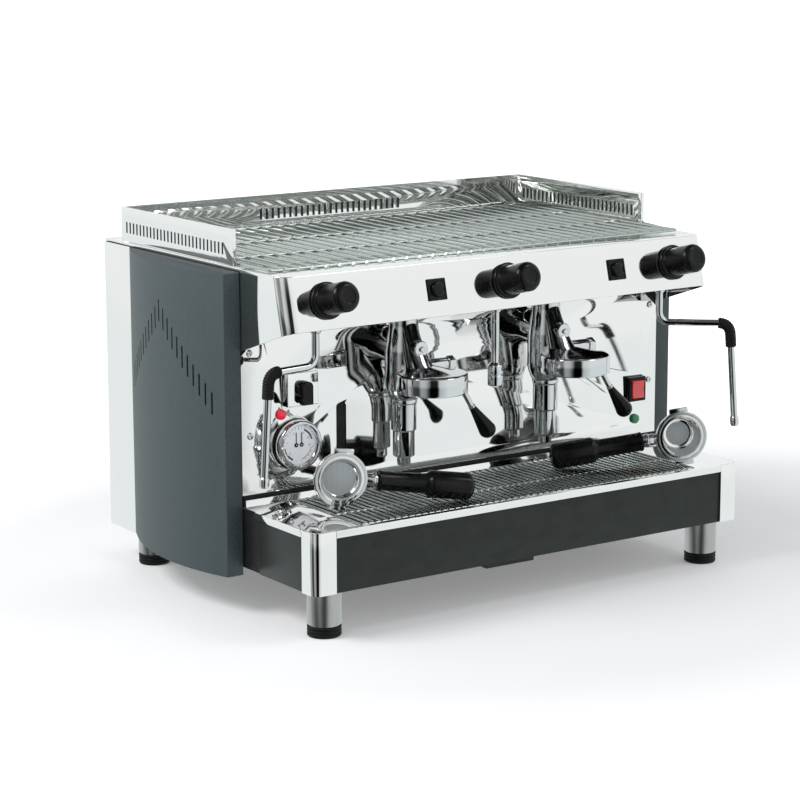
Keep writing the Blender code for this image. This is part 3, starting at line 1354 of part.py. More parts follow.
def make_sight_glass():
    margin = SIGHT_WIDTH / 2 + SIGHT_BACK_MARGIN
    front = SPLASH_BACK + CLEARANCE
    plate = box(SIGHT_CENTRE - margin, SIGHT_CENTRE + margin, front, front + SIGHT_BACK_DEPTH,
                SIGHT_BOTTOM - SIGHT_BACK_MARGIN, SIGHT_TOP + SIGHT_BACK_MARGIN)
    tube = rod(at(SIGHT_CENTRE, front, SIGHT_BOTTOM + SHEET), at(SIGHT_CENTRE, front, SIGHT_TOP - SHEET),
               SIGHT_TUBE_RADIUS, SMALL_SIDES)
    piece("sight_glass", "clear_glass", plate, [tube])


def make_switch():
    place = facing_front(SWITCH_CENTRE[0], ON_SPLASH, SWITCH_CENTRE[1])
    wide, high = (size / 2 for size in SWITCH_FRAME)
    body_wide, body_high = (size / 2 for size in SWITCH_BODY)
    half_wide, half_high = (size / 2 for size in ROCKER_SIZE)
    frame = block((-wide, -high, 0), (wide, high, SWITCH_PROUD), place)
    body = block((-body_wide, -body_high, -SWITCH_BODY_LENGTH), (body_wide, body_high, SWITCH_PROUD / 2), place)
    floor = SWITCH_PROUD - ROCKER_DEPTH - ROCKER_FLOOR_GAP
    hollow = block((-half_wide - ROCKER_SIDE_GAP, -half_high - ROCKER_END_GAP, floor),
                   (half_wide + ROCKER_SIDE_GAP, half_high + ROCKER_END_GAP, SWITCH_PROUD + OVERRUN), place)
    piece("rocker_frame", "black_plastic", frame, [body], [hollow])
    rocker = block((-half_wide, -half_high, -ROCKER_DEPTH), (half_wide, half_high, ROCKER_PROUD))
    piece("rocker", "rocker_red", rocker, place=place @ Matrix.Translation((0, 0, SWITCH_PROUD)))


# Groups

def make_group_body(name, x):
    ring = stacked([
        (at(x, GROUP_RING_DEPTH, RING_BOTTOM), RING_RADIUS),
        (at(x, GROUP_RING_DEPTH, RING_TOP - SHEET), RING_RADIUS),
        (at(x, GROUP_RING_DEPTH, RING_TOP), RING_RADIUS - SHEET),
    ])
    arm = stacked([
        (at(x, GROUP_RING_DEPTH, RING_TOP - SHEET), RING_RADIUS - DOME_MARGIN),
        (at(x, ARM_FOOT_DEPTH, RING_TOP + DOME_RISE), ARM_FOOT_RADIUS),
        (at(x, ARM_TOP_DEPTH, ARM_TOP), ARM_TOP_RADIUS),
    ])
    boss = rod(at(x, BOSS_DEPTH, BOSS_HEIGHT), at(x, GROUP_COLUMN_DEPTH, BOSS_HEIGHT), BOSS_RADIUS)
    column = stacked([
        (at(x, GROUP_COLUMN_DEPTH, COLUMN_BOTTOM), COLUMN_RADIUS * COLUMN_FOOT_SHARE),
        (at(x, GROUP_COLUMN_DEPTH, COLUMN_TAPER_TOP), COLUMN_RADIUS),
        (at(x, GROUP_COLUMN_DEPTH, COLUMN_WAIST), COLUMN_RADIUS),
        (at(x, GROUP_COLUMN_DEPTH, COLUMN_SHOULDER), COLUMN_TOP_RADIUS),
        (at(x, GROUP_COLUMN_DEPTH, COLUMN_TOP), COLUMN_TOP_RADIUS),
    ])
    flange_back = CROSSBAR_FRONT - CLEARANCE
    along = flange_back - GROUP_COLUMN_DEPTH
    neck = turned([
        (0, 0), (NECK_RADIUS, 0), (NECK_RADIUS, along - NECK_FLANGE_THICKNESS),
        (NECK_FLANGE_RADIUS, along - NECK_FLANGE_THICKNESS), (NECK_FLANGE_RADIUS, along), (0, along),
    ], frame_along(at(x, GROUP_COLUMN_DEPTH, NECK_HEIGHT), (0, 1, 0)))
    cam = rod(at(x, LEVER_AXIS_DEPTH, LEVER_AXIS_HEIGHT),
              at(x + CAM_REACH, LEVER_AXIS_DEPTH, LEVER_AXIS_HEIGHT),
              CAM_RADIUS)
    bore = rod(at(x, GROUP_RING_DEPTH, RING_BOTTOM - OVERRUN),
               at(x, GROUP_RING_DEPTH, RING_BOTTOM + RING_BORE_DEPTH),
               RING_BORE_RADIUS)
    piece(name, "chrome", column, [cam, ring, neck, arm, boss], [bore])


def make_group_chamber(name, x):
    profile = [
        (0, CHAMBER_TIP), (CHAMBER_TIP_RADIUS, CHAMBER_TIP), (CHAMBER_TIP_RADIUS, CHAMBER_BOTTOM),
        (CHAMBER_LOWER_RADIUS, CHAMBER_BOTTOM), (CHAMBER_LOWER_RADIUS, CHAMBER_STEP),
        (CHAMBER_RADIUS, CHAMBER_STEP), (CHAMBER_RADIUS, COLUMN_BOTTOM - CHAMBER_CAP_HEIGHT),
        (CHAMBER_CAP_RADIUS, COLUMN_BOTTOM - CHAMBER_CAP_HEIGHT),
        (CHAMBER_CAP_RADIUS, COLUMN_BOTTOM - CLEARANCE), (0, COLUMN_BOTTOM - CLEARANCE),
    ]
    piece(name, "chrome", turned(profile, Matrix.Translation(at(x, GROUP_COLUMN_DEPTH, 0))))


def lever_route(x):
    """Corners of a lever from its hub to the end of its grip, and its pivot."""
    pivot = at(x + CAM_REACH + CLEARANCE, LEVER_AXIS_DEPTH, LEVER_AXIS_HEIGHT)
    hub = Vector((LEVER_HUB_LENGTH / 2, 0, 0))
    places = [at(x + reach, d, z) - pivot for reach, d, z in (LEVER_BEND, LEVER_ROD_END, LEVER_TIP)]
    return [hub] + places, pivot


def make_lever(name, x):
    (hub, bend, end, tip), pivot = lever_route(x)
    way = (tip - end).normalized()
    path = bent([hub, bend, end - way * LEVER_ROD_RADIUS, end], LEVER_ROD_RADIUS / 2)
    boss = rod((0, 0, 0), (LEVER_HUB_LENGTH, 0, 0), LEVER_HUB_RADIUS)
    arm = swept(path, [LEVER_ROD_RADIUS] * len(path))
    piece(name, "chrome", boss, [arm], place=Matrix.Translation(pivot))


def make_lever_grip(name, x):
    (hub, bend, end, tip), pivot = lever_route(x)
    way = tip - end
    length = way.length
    profile = [(0, CLEARANCE), (LEVER_GRIP_NECK, CLEARANCE), (LEVER_GRIP_END, length - LEVER_GRIP_END)]
    for k in range(1, ARC_STEPS):
        angle = math.pi / 2 * k / ARC_STEPS
        profile.append((LEVER_GRIP_END * math.cos(angle), length - LEVER_GRIP_END * (1 - math.sin(angle))))
    profile.append((0, length))
    piece(name, "black_plastic", turned(profile, frame_along(end, way, (1, 0, 0)), SMALL_SIDES),
          place=Matrix.Translation(pivot))


# Portafilters, lying on the drip grid

def portafilter_place(centre, heading):
    """Matrix whose x runs down the handle and whose z comes out of the mouth."""
    flat = HANDLE_END - HANDLE_ROUNDING - LUG_WIDTH / 2
    tilt = math.atan2(LUG_REACH - HANDLE_END_RADIUS, flat)
    height = GRID_TOP + CLEARANCE + LUG_REACH * math.cos(tilt) + LUG_WIDTH / 2 * math.sin(tilt)
    angle = math.radians(heading)
    level = Vector((math.cos(angle), math.sin(angle), 0))
    x = level * math.cos(tilt) - Vector((0, 0, math.sin(tilt)))
    z = Vector((level.y, -level.x, 0)) * (1 if level.x > 0 else -1)
    turn = Matrix((x, z.cross(x), z)).transposed().to_4x4()
    return Matrix.Translation(at(*centre, height)) @ turn


def make_portafilter(name, centre, heading, basket):
    head = turned([
        (0, -HEAD_DEPTH), (HEAD_FOOT_RADIUS, -HEAD_DEPTH), (HEAD_RADIUS, -HEAD_DEPTH + HEAD_SLOPE_LENGTH),
        (HEAD_RADIUS, -HEAD_RIM_THICKNESS), (HEAD_RIM_RADIUS, -HEAD_RIM_THICKNESS), (HEAD_RIM_RADIUS, 0),
        (BASKET_RADIUS, 0), (BASKET_RADIUS, -basket / 2), (BASKET_FOOT_RADIUS, -basket), (0, -basket),
    ], Matrix())
    half = LUG_WIDTH / 2
    lug = HEAD_RIM_THICKNESS * LUG_THICKNESS_SHARE
    lugs = []
    for side in (-1, 1):
        low, high = sorted((side * BASKET_RADIUS * LUG_ROOT_SHARE, side * LUG_REACH))
        lugs.append(block((-half, low, -HEAD_RIM_THICKNESS + lug / 4), (half, high, -HEAD_RIM_THICKNESS + lug)))
    axis = -HANDLE_AXIS_DROP
    neck = rod((HEAD_RADIUS - SHEET, 0, axis), (HANDLE_START - CLEARANCE, 0, axis), NECK_ROD_RADIUS,
               SMALL_SIDES)
    long, wide, deep = SPOUT_BLOCK
    spouts = block((-wide / 2, -long / 2, -HEAD_DEPTH - deep), (wide / 2, long / 2, -HEAD_DEPTH + SHEET))
    piece(name, "chrome", head, [merged(lugs), neck, spouts], place=portafilter_place(centre, heading))


def make_portafilter_handle(name, centre, heading):
    profile = [
        (0, HANDLE_START), (HANDLE_RADIUS - SHEET, HANDLE_START), (HANDLE_RADIUS, HANDLE_START + SHEET),
        (HANDLE_RADIUS, HANDLE_SWELL - HANDLE_RADIUS), (HANDLE_END_RADIUS, HANDLE_SWELL),
        (HANDLE_END_RADIUS, HANDLE_END - HANDLE_ROUNDING),
    ]
    for k in range(1, ARC_STEPS + 1):
        angle = math.pi / 2 * k / ARC_STEPS
        profile.append((HANDLE_END_RADIUS - HANDLE_ROUNDING * (1 - math.cos(angle)),
                        HANDLE_END - HANDLE_ROUNDING * (1 - math.sin(angle))))
    profile.append((0, HANDLE_END))
    handle = turned(profile, frame_along((0, 0, -HANDLE_AXIS_DROP), (1, 0, 0)))
    piece(name, "black_plastic", handle, place=portafilter_place(centre, heading))


# The machine

def make_machine():
    make_chassis()
    make_tray_surround()
    make_apron()
    make_drip_basin()
    make_drip_grid()
    make_splash_panel()
    make_rear_cover()
    make_top_deck()
    make_hood()
    make_cup_rail()
    make_cup_grid()
    make_boiler()
    make_pump_motor()
    make_valve("water_valve", 0)
    make_knob("knob_centre", 0)
    make_water_spout()
    make_selector()
    make_lamp("lamp_red", "red_lens", RED_LAMP_CENTRE)
    make_lamp("lamp_green", "green_lens", GREEN_LAMP_CENTRE)
    make_gauge()
    make_sight_glass()
    make_switch()
    portafilters = (
        ((-PORTAFILTER_SPREAD, LEFT_PORTAFILTER_DEPTH), LEFT_HEADING, SHALLOW_BASKET),
        ((PORTAFILTER_SPREAD, RIGHT_PORTAFILTER_DEPTH), RIGHT_HEADING, DEEP_BASKET),
    )
    for (name, side), button, portafilter in zip(sides(), BUTTON_CENTRES, portafilters):
        make_corner_post("corner_post_" + name, side)
        make_side_panel("side_panel_" + name, side)
        make_valve("steam_valve_" + name, side * TAP_SPREAD)
        make_knob("knob_" + name, side * TAP_SPREAD)
        make_wand("wand_" + name, side)
        make_wand_grip("wand_grip_" + name, side)
        make_button_bezel("button_bezel_" + name, button)
        make_button("button_" + name, button)
        make_group_body("group_body_" + name, side * GROUP_SPREAD)
        make_group_chamber("group_chamber_" + name, side * GROUP_SPREAD)
        make_lever("lever_" + name, side * GROUP_SPREAD)
        make_lever_grip("lever_grip_" + name, side * GROUP_SPREAD)
        centre, heading, basket = portafilter
        make_portafilter("portafilter_" + name, centre, heading, basket)
        make_portafilter_handle("portafilter_handle_" + name, centre, heading)
    corners = ("front_left", "front_right", "rear_left", "rear_right")
    for corner, (x, d) in zip(corners, foot_places()):
        make_foot("foot_" + corner, x, d)


clear_scene()
make_machine()
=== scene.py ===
"""Dressing of a commercial two-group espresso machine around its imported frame."""

import json
import math

import bpy
from mathutils import Matrix, Vector


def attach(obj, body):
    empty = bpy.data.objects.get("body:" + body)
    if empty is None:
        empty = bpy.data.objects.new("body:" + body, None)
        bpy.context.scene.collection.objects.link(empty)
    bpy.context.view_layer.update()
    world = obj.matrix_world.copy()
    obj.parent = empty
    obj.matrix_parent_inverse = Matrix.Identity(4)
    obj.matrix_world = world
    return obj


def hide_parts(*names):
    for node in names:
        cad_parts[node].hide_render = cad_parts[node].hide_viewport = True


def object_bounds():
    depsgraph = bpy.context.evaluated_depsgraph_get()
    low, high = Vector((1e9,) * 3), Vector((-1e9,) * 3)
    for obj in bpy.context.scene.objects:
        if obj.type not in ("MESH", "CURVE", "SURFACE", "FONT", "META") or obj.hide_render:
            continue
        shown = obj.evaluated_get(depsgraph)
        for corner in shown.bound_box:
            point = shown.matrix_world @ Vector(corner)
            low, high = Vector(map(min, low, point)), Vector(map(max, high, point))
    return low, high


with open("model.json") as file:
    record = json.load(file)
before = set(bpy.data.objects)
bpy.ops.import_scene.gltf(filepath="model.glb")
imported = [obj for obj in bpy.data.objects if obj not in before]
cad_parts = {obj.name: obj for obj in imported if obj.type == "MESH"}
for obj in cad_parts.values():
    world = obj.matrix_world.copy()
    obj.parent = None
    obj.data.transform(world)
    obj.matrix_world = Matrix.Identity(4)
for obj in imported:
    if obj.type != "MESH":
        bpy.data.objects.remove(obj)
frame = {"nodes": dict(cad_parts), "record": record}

bl_info = {
    "name": "Two-group espresso machine",
    "version": (1, 0, 0),
    "blender": (4, 5, 0),
    "location": "View3D > Sidebar > Espresso",
    "description": "Dresses the packed frame of an espresso machine with finished pieces",
    "category": "Object",
}

CAD_BOX = [list(corner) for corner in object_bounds()]
FRONT = CAD_BOX[0][1]
MM = 0.001
ROOT = "machine"
SIDES = (("left", -1), ("right", 1))

# Places in millimetres: across, back from the front of the base, and up

HALF_WIDTH = 350
BASE_BOTTOM = 62.1
SPLASH = 175.7
HOOD_HALF, HOOD_FRONT, HOOD_TOP, HOOD_LEAN = 345.5, 80, 452, 0.25
TAPS = {"left": -283, "centre": 0, "right": 283}
TAP_DEPTH, TAP_HEIGHT, TAP_BORE = 97, 419, 17.7
BUTTONS = {"left": -114, "right": 184}
BUTTON_HEIGHT = 418
GROUP_X, RING_DEPTH, COLUMN_DEPTH = 118, 76, 140
SELECTOR, GAUGE, SWITCH = (-261, 290), (-264, 215.5), (308, 223.5)
NEEDLE_X = 3.85
DIAL_LEVEL = 6.5
HANDLE_DROP = 13


def at(x, depth, z):
    return Vector((x * MM, FRONT + depth * MM, z * MM))


def joint(name):
    return next(each for each in frame["record"]["behaviour"]["joints"] if each["name"] == name)


def pivot(name):
    return Vector(joint(name)["pos_m"])


def upright(x, depth):
    """Matrix on the floor at that place, whose z is up."""
    return Matrix.Translation(at(x, depth, 0))


def along(origin, axis, up=(0, 0, 1)):
    """Matrix at origin whose z runs along axis and whose y leans to up."""
    z = Vector(axis).normalized()
    x = Vector(up).cross(z).normalized()
    turn = Matrix((x, z.cross(x), z)).transposed().to_4x4()
    return Matrix.Translation(origin) @ turn


def moved(place, x=0, y=0, z=0):
    """The place shifted along its own axes, in millimetres."""
    return place @ Matrix.Translation((x * MM, y * MM, z * MM))


HOOD_NORMAL = Vector(joint("knob_centre_turn")["axis"])
HOOD_POINT = pivot("knob_centre_turn")


def on_hood(x, z):
    """Matrix at that place of the hood's front, whose z comes out of it."""
    y = HOOD_POINT.y - (z * MM - HOOD_POINT.z) * HOOD_NORMAL.z / HOOD_NORMAL.y
    return along(Vector((x * MM, y, z * MM)), HOOD_NORMAL)


def facing_front(x, z, depth=SPLASH):
    """Matrix at that place, on the splash panel unless a depth says otherwise, whose z faces the front."""
    return along(at(x, depth, z), (0, -1, 0))


# Modelling steps

def deselect():
    if bpy.context.object and bpy.context.object.mode != "OBJECT":
        bpy.ops.object.mode_set(mode="OBJECT")
    bpy.ops.object.select_all(action="DESELECT")


def named(name):
    piece = bpy.context.active_object
    piece.name = name
    piece.data.name = name
    return piece


def only(piece):
    deselect()
    piece.select_set(True)
    bpy.context.view_layer.objects.active = piece


def modify(piece, kind, **settings):
    """Add a modifier with its settings and apply it."""
    only(piece)
    modifier = piece.modifiers.new(kind.title(), kind)
    for key, value in settings.items():
        setattr(modifier, key, value)
    bpy.ops.object.modifier_apply(modifier=modifier.name)


def ease(piece, width=0.4, segments=2, angle=30):
    """Round the edges sharper than angle, by a width in millimetres."""
    modify(piece, "BEVEL", width=width * MM, segments=segments, limit_method="ANGLE",
           angle_limit=math.radians(angle), harden_normals=False)


def settle(piece, place=Matrix()):
    """Carry the piece to its place and leave the place in its mesh."""
    only(piece)
    piece.matrix_world = place @ piece.matrix_world
    bpy.ops.object.transform_apply(location=True, rotation=True, scale=True)


def join(pieces):
    deselect()
    for piece in pieces:
        piece.select_set(True)
    bpy.context.view_layer.objects.active = pieces[0]
    bpy.ops.object.join()
    return pieces[0]


def carve(piece, cutter, operation="DIFFERENCE"):
    modify(piece, "BOOLEAN", object=cutter, operation=operation, solver="EXACT")
    bpy.data.objects.remove(cutter, do_unlink=True)


def weld(piece):
    modify(piece, "WELD", merge_threshold=0.00001)


def dissolve(angle, outward=False):
    """Merge the active piece's faces that meet at less than angle, and point them outwards where asked."""
    bpy.ops.object.mode_set(mode="EDIT")
    bpy.ops.mesh.select_all(action="SELECT")
    bpy.ops.mesh.dissolve_limited(angle_limit=math.radians(angle))
    if outward:
        bpy.ops.mesh.normals_make_consistent(inside=False)
    bpy.ops.object.mode_set(mode="OBJECT")


def stacked(name, rings, sides=48):
    """Closed skin through level circles (middle in metres, radius in mm).

    A circle is added at the first ring, then extruded, moved and scaled to each next one.
    """
    middle, radius = rings[0]
    deselect()
    bpy.ops.mesh.primitive_circle_add(vertices=sides, radius=radius * MM, fill_type="NGON", location=middle)
    piece = named(name)
    bpy.ops.object.transform_apply(location=True)
    bpy.ops.object.mode_set(mode="EDIT")
    bpy.ops.mesh.select_all(action="SELECT")
    for here, wide in rings[1:]:
        bpy.ops.mesh.extrude_region_move(TRANSFORM_OT_translate={"value": Vector(here) - Vector(middle)})
        share = wide / radius
        bpy.ops.transform.resize(value=(share, share, 1), center_override=tuple(here))
        middle, radius = here, wide
    bpy.ops.mesh.select_all(action="SELECT")
    bpy.ops.mesh.normals_make_consistent(inside=False)
    bpy.ops.object.mode_set(mode="OBJECT")
    return piece


def turned(name, profile, place=Matrix(), sides=48, edge=0.3):
    """Round piece of (radius, height) points in millimetres, bottom first."""
    rings = [(Vector((0, 0, height * MM)), radius) for radius, height in profile]
    piece = stacked(name, rings, sides)
    if edge:
        ease(piece, edge, 2, 25)
    settle(piece, place)
    return piece


def slab(name, low, high, edge=0.4, place=Matrix(), segments=2):
    """Box between two corners in metres, with eased edges."""
    size = Vector(high) - Vector(low)
    deselect()
    bpy.ops.mesh.primitive_cube_add(size=1, location=(Vector(low) + Vector(high)) / 2)
    piece = named(name)
    piece.scale = size
    bpy.ops.object.transform_apply(location=True, scale=True)
    if edge:
        ease(piece, edge, segments)
    settle(piece, place)
    return piece


def pad(name, wide, high, low, top, edge=0.4, place=Matrix(), segments=2, lift=0):
    """Box around the place's z axis between two levels, in mm, shifted along y by lift."""
    return slab(name, Vector((-wide / 2, lift - high / 2, low)) * MM,
                Vector((wide / 2, lift + high / 2, top)) * MM, edge, place, segments)


def drawn(name, points, widths=None):
    """Curve through points in metres, each with its share of the thickness."""
    deselect()
    bpy.ops.curve.primitive_nurbs_path_add(location=(0, 0, 0))
    piece = named(name)
    piece.data.splines.clear()
    spline = piece.data.splines.new("POLY")
    spline.points.add(len(points) - 1)
    for k, point in enumerate(spline.points):
        point.co = (*points[k], 1)
        point.radius = widths[k] if widths else 1
    return piece


def as_mesh():
    """Turn the active curve or text into a mesh."""
    bpy.ops.object.convert(target="MESH")
    return bpy.context.active_object


def tube(name, points, radii, resolution=8):
    """Round tube along points in metres, its radii in mm, with filled ends."""
    largest = max(radii)
    curve = drawn(name, points, [radius / largest for radius in radii]).data
    curve.dimensions = "3D"
    curve.bevel_depth = largest * MM
    curve.bevel_resolution = resolution
    curve.use_fill_caps = True
    piece = as_mesh()
    weld(piece)
    return piece


def arc_path(corners, radius, steps=10):
    """Path through corners in metres with arcs of about that radius, in mm."""
    path = [corners[0]]
    for before, here, after in zip(corners, corners[1:], corners[2:]):
        start = here + (before - here).normalized() * radius * MM
        end = here + (after - here).normalized() * radius * MM
        for k in range(steps + 1):
            t = k / steps
            path.append(start.lerp(here, t).lerp(here.lerp(end, t), t))
    path.append(corners[-1])
    return path


def quarter(radius, height, size, steps=6):
    """Profile points of a rounded end that reaches that height, in mm."""
    points = []
    for k in range(steps + 1):
        angle = math.pi / 2 * k / steps
        points.append((radius - size * (1 - math.cos(angle)), height - size * (1 - math.sin(angle))))
    return points


def finished(piece, finish, node_name="", body=ROOT, angle=35):
    """Give a piece its shading, finish, body and slot, and hide the frame's node that it stands for."""
    only(piece)
    bpy.ops.object.shade_smooth_by_angle(angle=math.radians(angle))
    piece.data.materials.clear()
    piece.data.materials.append(paint(finish))
    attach(piece, body)
    if node_name:
        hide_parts(node_name)
    return piece


def softened(node_name, name, finish, edge):
    """Stand-in for a sheet node: its merged copy with eased edges."""
    source = frame["nodes"][node_name]
    piece = source.copy()
    piece.data = source.data.copy()
    piece.name = name
    piece.parent = None
    piece.matrix_world = source.matrix_world.copy()
    bpy.context.collection.objects.link(piece)
    settle(piece)
    weld(piece)
    dissolve(1)
    ease(piece, edge)
    finished(piece, finish, node_name)


# Materials

def linear(code):
    """Linear colour of an sRGB hex value such as 3f4a4c."""
    channels = []
    for start in (0, 2, 4):
        value = int(code[start:start + 2], 16) / 255
        channels.append(value / 12.92 if value <= 0.04045 else ((value + 0.055) / 1.055) ** 2.4)
    return (*channels, 1)


def tint(name, share=1.0):
    """One of the scene's finish colours, darkened or lightened by a share."""
    value = getattr(bpy.context.scene.espresso_colours, name)
    return (*(channel * share for channel in value[:3]), 1)


def node(tree, kind, links=(), stops=(), **settings):
    """Add a node with its properties, socket values and links, and the stops of its colour ramp."""
    made = tree.nodes.new(kind)
    for key, value in settings.items():
        if hasattr(made, key):
            setattr(made, key, value)
        else:
            made.inputs[key.replace("_", " ")].default_value = value
    for socket, source in links:
        tree.links.new(source, made.inputs[socket])
    if stops:
        steps = made.color_ramp.elements
        for position, _ in stops[1:-1]:
            steps.new(position)
        for step, (position, shade) in zip(steps, stops):
            step.position = position
            step.color = shade
    return made


def grain(size, stretch=(1, 1, 1), detail=3.0, roughness=0.55):
    """Pattern of noise whose cells measure size millimetres, drawn out by stretch."""
    def pattern(tree):
        place = node(tree, "ShaderNodeTexCoord")
        mapping = node(tree, "ShaderNodeMapping", [("Vector", place.outputs["Object"])], Scale=stretch)
        noise = node(tree, "ShaderNodeTexNoise", [("Vector", mapping.outputs["Vector"])],
                     Scale=1 / (size * MM), Detail=detail, Roughness=roughness)
        return noise.outputs["Fac"]
    return pattern


def holes(pitch):
    """Pattern of round holes that lie pitch millimetres apart."""
    def pattern(tree):
        place = node(tree, "ShaderNodeTexCoord")
        cells = node(tree, "ShaderNodeTexVoronoi", [("Vector", place.outputs["Object"])],
                     Scale=1 / (pitch * MM), Randomness=0.15)
        return cells.outputs["Distance"]
    return pattern


def make_material(colour, name, metallic=0.0, roughness=0.4, sheen=None, tones=None, relief=None, glow=0.0,
                  **sockets):
    """Principled material.

    sheen is a pattern with the least and the most roughness, tones a pattern with two shares of the colour and
    where it turns from one to the other, and relief a pattern with its depth in mm and its strength.
    """
    material = bpy.data.materials.new(name)
    material.use_nodes = True
    material.diffuse_color = tint(colour)
    tree = material.node_tree
    shader = tree.nodes["Principled BSDF"]
    values = {"Base_Color": tint(colour), "Metallic": metallic, "Roughness": roughness,
              "Emission_Color": tint(colour), "Emission_Strength": glow, **sockets}
    for key, value in values.items():
        shader.inputs[key.replace("_", " ")].default_value = value
    if sheen:
        pattern, low, high = sheen
        spread = node(tree, "ShaderNodeMapRange", [("Value", pattern(tree))], To_Min=low, To_Max=high)
        tree.links.new(spread.outputs["Result"], shader.inputs["Roughness"])
    if tones:
        pattern, dark, light, *ends = tones
        start, end = ends or (0.35, 0.65)
        ramp = node(tree, "ShaderNodeValToRGB", [("Fac", pattern(tree))],
                    [(start, tint(colour, dark)), (end, tint(colour, light))])
        tree.links.new(ramp.outputs["Color"], shader.inputs["Base Color"])
    if relief:
        pattern, depth, strength = relief
        bump = node(tree, "ShaderNodeBump", [("Height", pattern(tree))], Strength=strength,
                    Distance=depth * MM)
        tree.links.new(bump.outputs["Normal"], shader.inputs["Normal"])
    return material


PEBBLE = grain(1.1, detail=2.0, roughness=0.6)
WIPING = grain(38, (1, 1, 1.6), 5.0, 0.62)
TURNING = grain(9, (1, 1, 30), 4.0)
LENS = {"roughness": 0.16, "relief": (grain(1.6, detail=1.0), 0.08, 0.35), "Coat_Weight": 0.8,
        "Coat_Roughness": 0.04}
INK = {"roughness": 0.35, "sheen": (grain(0.8, detail=2.0), 0.3, 0.45)}

FINISHES = {
    # Stainless sheet, mirror-polished: buffed flat, with faint wiping haze and long soft waves
    "steel": {"name": "mirror_polished_stainless", "metallic": 1.0,
              "sheen": (grain(60, (1, 1, 0.4)), 0.02, 0.09), "relief": (grain(90, detail=1.0), 0.03, 0.35)},
    # Stainless tube, brushed on the lathe: fine rings around it, drawn coarser than they are so that they show
    "sleeve": {"name": "brushed_stainless", "metallic": 1.0, "sheen": (TURNING, 0.22, 0.42),
               "relief": (TURNING, 0.02, 0.5)},
    # Brass castings, chrome-plated: a bright mirror with a slight orange peel
    "chrome": {"name": "chrome_plated_brass", "metallic": 1.0, "sheen": (grain(25), 0.03, 0.08),
               "relief": (grain(7, detail=1.5), 0.012, 0.5)},
    # Drawn steel wire, bright-plated: a little softer than the castings
    "wire": {"name": "bright_plated_wire", "metallic": 1.0, "sheen": (grain(12, detail=2.0), 0.12, 0.26)},
    # Textured powder coat, sprayed and baked: dark grey green with a fine pebble of about a millimetre
    "panel": {"name": "textured_powder_coat", "sheen": (PEBBLE, 0.42, 0.62),
              "tones": (PEBBLE, 0.7, 1.45, 0.3, 0.7),
              "relief": (PEBBLE, 0.12, 0.6)},
    # Satin enamel on sheet steel: charcoal with a green cast and cloudy wiping marks
    "apron": {"name": "satin_enamel", "sheen": (WIPING, 0.26, 0.44),
              "tones": (WIPING, 0.7, 1.4, 0.3, 0.72), "Specular_IOR_Level": 0.3},
    # Matt black paint, brushed on the welded frame: dusty; the same black also paints shade on the strips
    # behind the rail's slots
    "frame": {"name": "matt_black_paint", "roughness": 0.6, "tones": (grain(14, detail=4.0), 0.8, 1.7)},
    # Phenolic, moulded and glossy: deep black with small sheen changes from handling
    "black": {"name": "black_phenolic", "sheen": (grain(16), 0.14, 0.3), "tones": (grain(16), 0.75, 1.7),
              "Specular_IOR_Level": 0.22},
    # Rubber, moulded: dull black with a slight bloom
    "rubber": {"name": "moulded_rubber", "roughness": 0.62, "tones": (grain(3), 0.7, 1.7),
               "relief": (grain(3), 0.05, 0.4), "Specular_IOR_Level": 0.25},
    # Stainless basket, pressed and dulled by use: its floor is punched with fine holes two millimetres apart
    "basket": {"name": "punched_basket_steel", "metallic": 0.5, "roughness": 0.55,
               "tones": (holes(2.2), 0.45, 1.1, 0.1, 0.26)},
    # Acrylic lenses and the rocker, moulded, tinted and clear-coated: lit a little from inside
    "red": {"name": "red_indicator_lens", "glow": 0.25, **LENS},
    "green": {"name": "green_indicator_lens", "glow": 0.1, **LENS},
    "rocker": {"name": "red_rocker_moulding", "glow": 0.2, **LENS},
    # Card of the dial, cool white with a faint fibre: a weak glow is painted light that lifts the card out of
    # the shade of its case
    "card": {"name": "printed_dial_card", "roughness": 0.45, "tones": (grain(2), 0.93, 1.04), "glow": 0.3},
    # Inks, screen-printed: slightly glossier than the card
    "black_ink": {"name": "black_dial_ink", **INK},
    "red_ink": {"name": "red_dial_ink", **INK},
    # Glass, thin and clear: almost colourless, with faint smears
    "glass": {"name": "clear_gauge_glass", "sheen": (grain(20), 0.0, 0.05), "Alpha": 0.08},
    # Copper sheet of the boiler, rolled: with heat tints
    "copper": {"name": "rolled_copper", "metallic": 1.0, "roughness": 0.32,
               "tones": (grain(45, detail=4.0), 0.7, 1.25)},
}
MATERIALS = {}


def paint(name):
    """The finish of that name, made on first use."""
    if name not in MATERIALS:
        MATERIALS[name] = make_material(name, **FINISHES[name])
    return MATERIALS[name]


# Sizes and colours

def length(label, description, value):
    return bpy.props.FloatProperty(name=label, description=description, default=value * MM, min=0,
                                   unit="LENGTH")


def colour(label, code):
    return bpy.props.FloatVectorProperty(name=label, description=label + " finish", default=linear(code),
                                         size=4, min=0, max=1, subtype="COLOR")


class EspressoSizes(bpy.types.PropertyGroup):
    """Sizes of the finished pieces that the frame doesn't fix."""
    sheet_edge: length("Sheet edge", "Rounding of the edges of folded sheet", 0.4)
    hood_corner: length("Hood corner", "Radius of the hood's two front corners", 20)
    drip_wire: length("Drip wire", "Diameter of the drip grid's wires", 4.1)
    drip_pitch: length("Drip pitch", "Distance between the drip grid's wires", 10.4)
    cup_wire: length("Cup wire", "Diameter of the cup grid's wires", 4.2)
    cup_pitch: length("Cup pitch", "Distance between the cup grid's wires", 20.8)
    vent_width: length("Vent width", "Width of the vents in the side panels", 3.0)
    grip_rib: length("Grip rib", "Distance between the ribs of a wand's grip", 2.6)
    screw_head: length("Screw head", "Diameter of the splash panel's screw heads", 9.4)


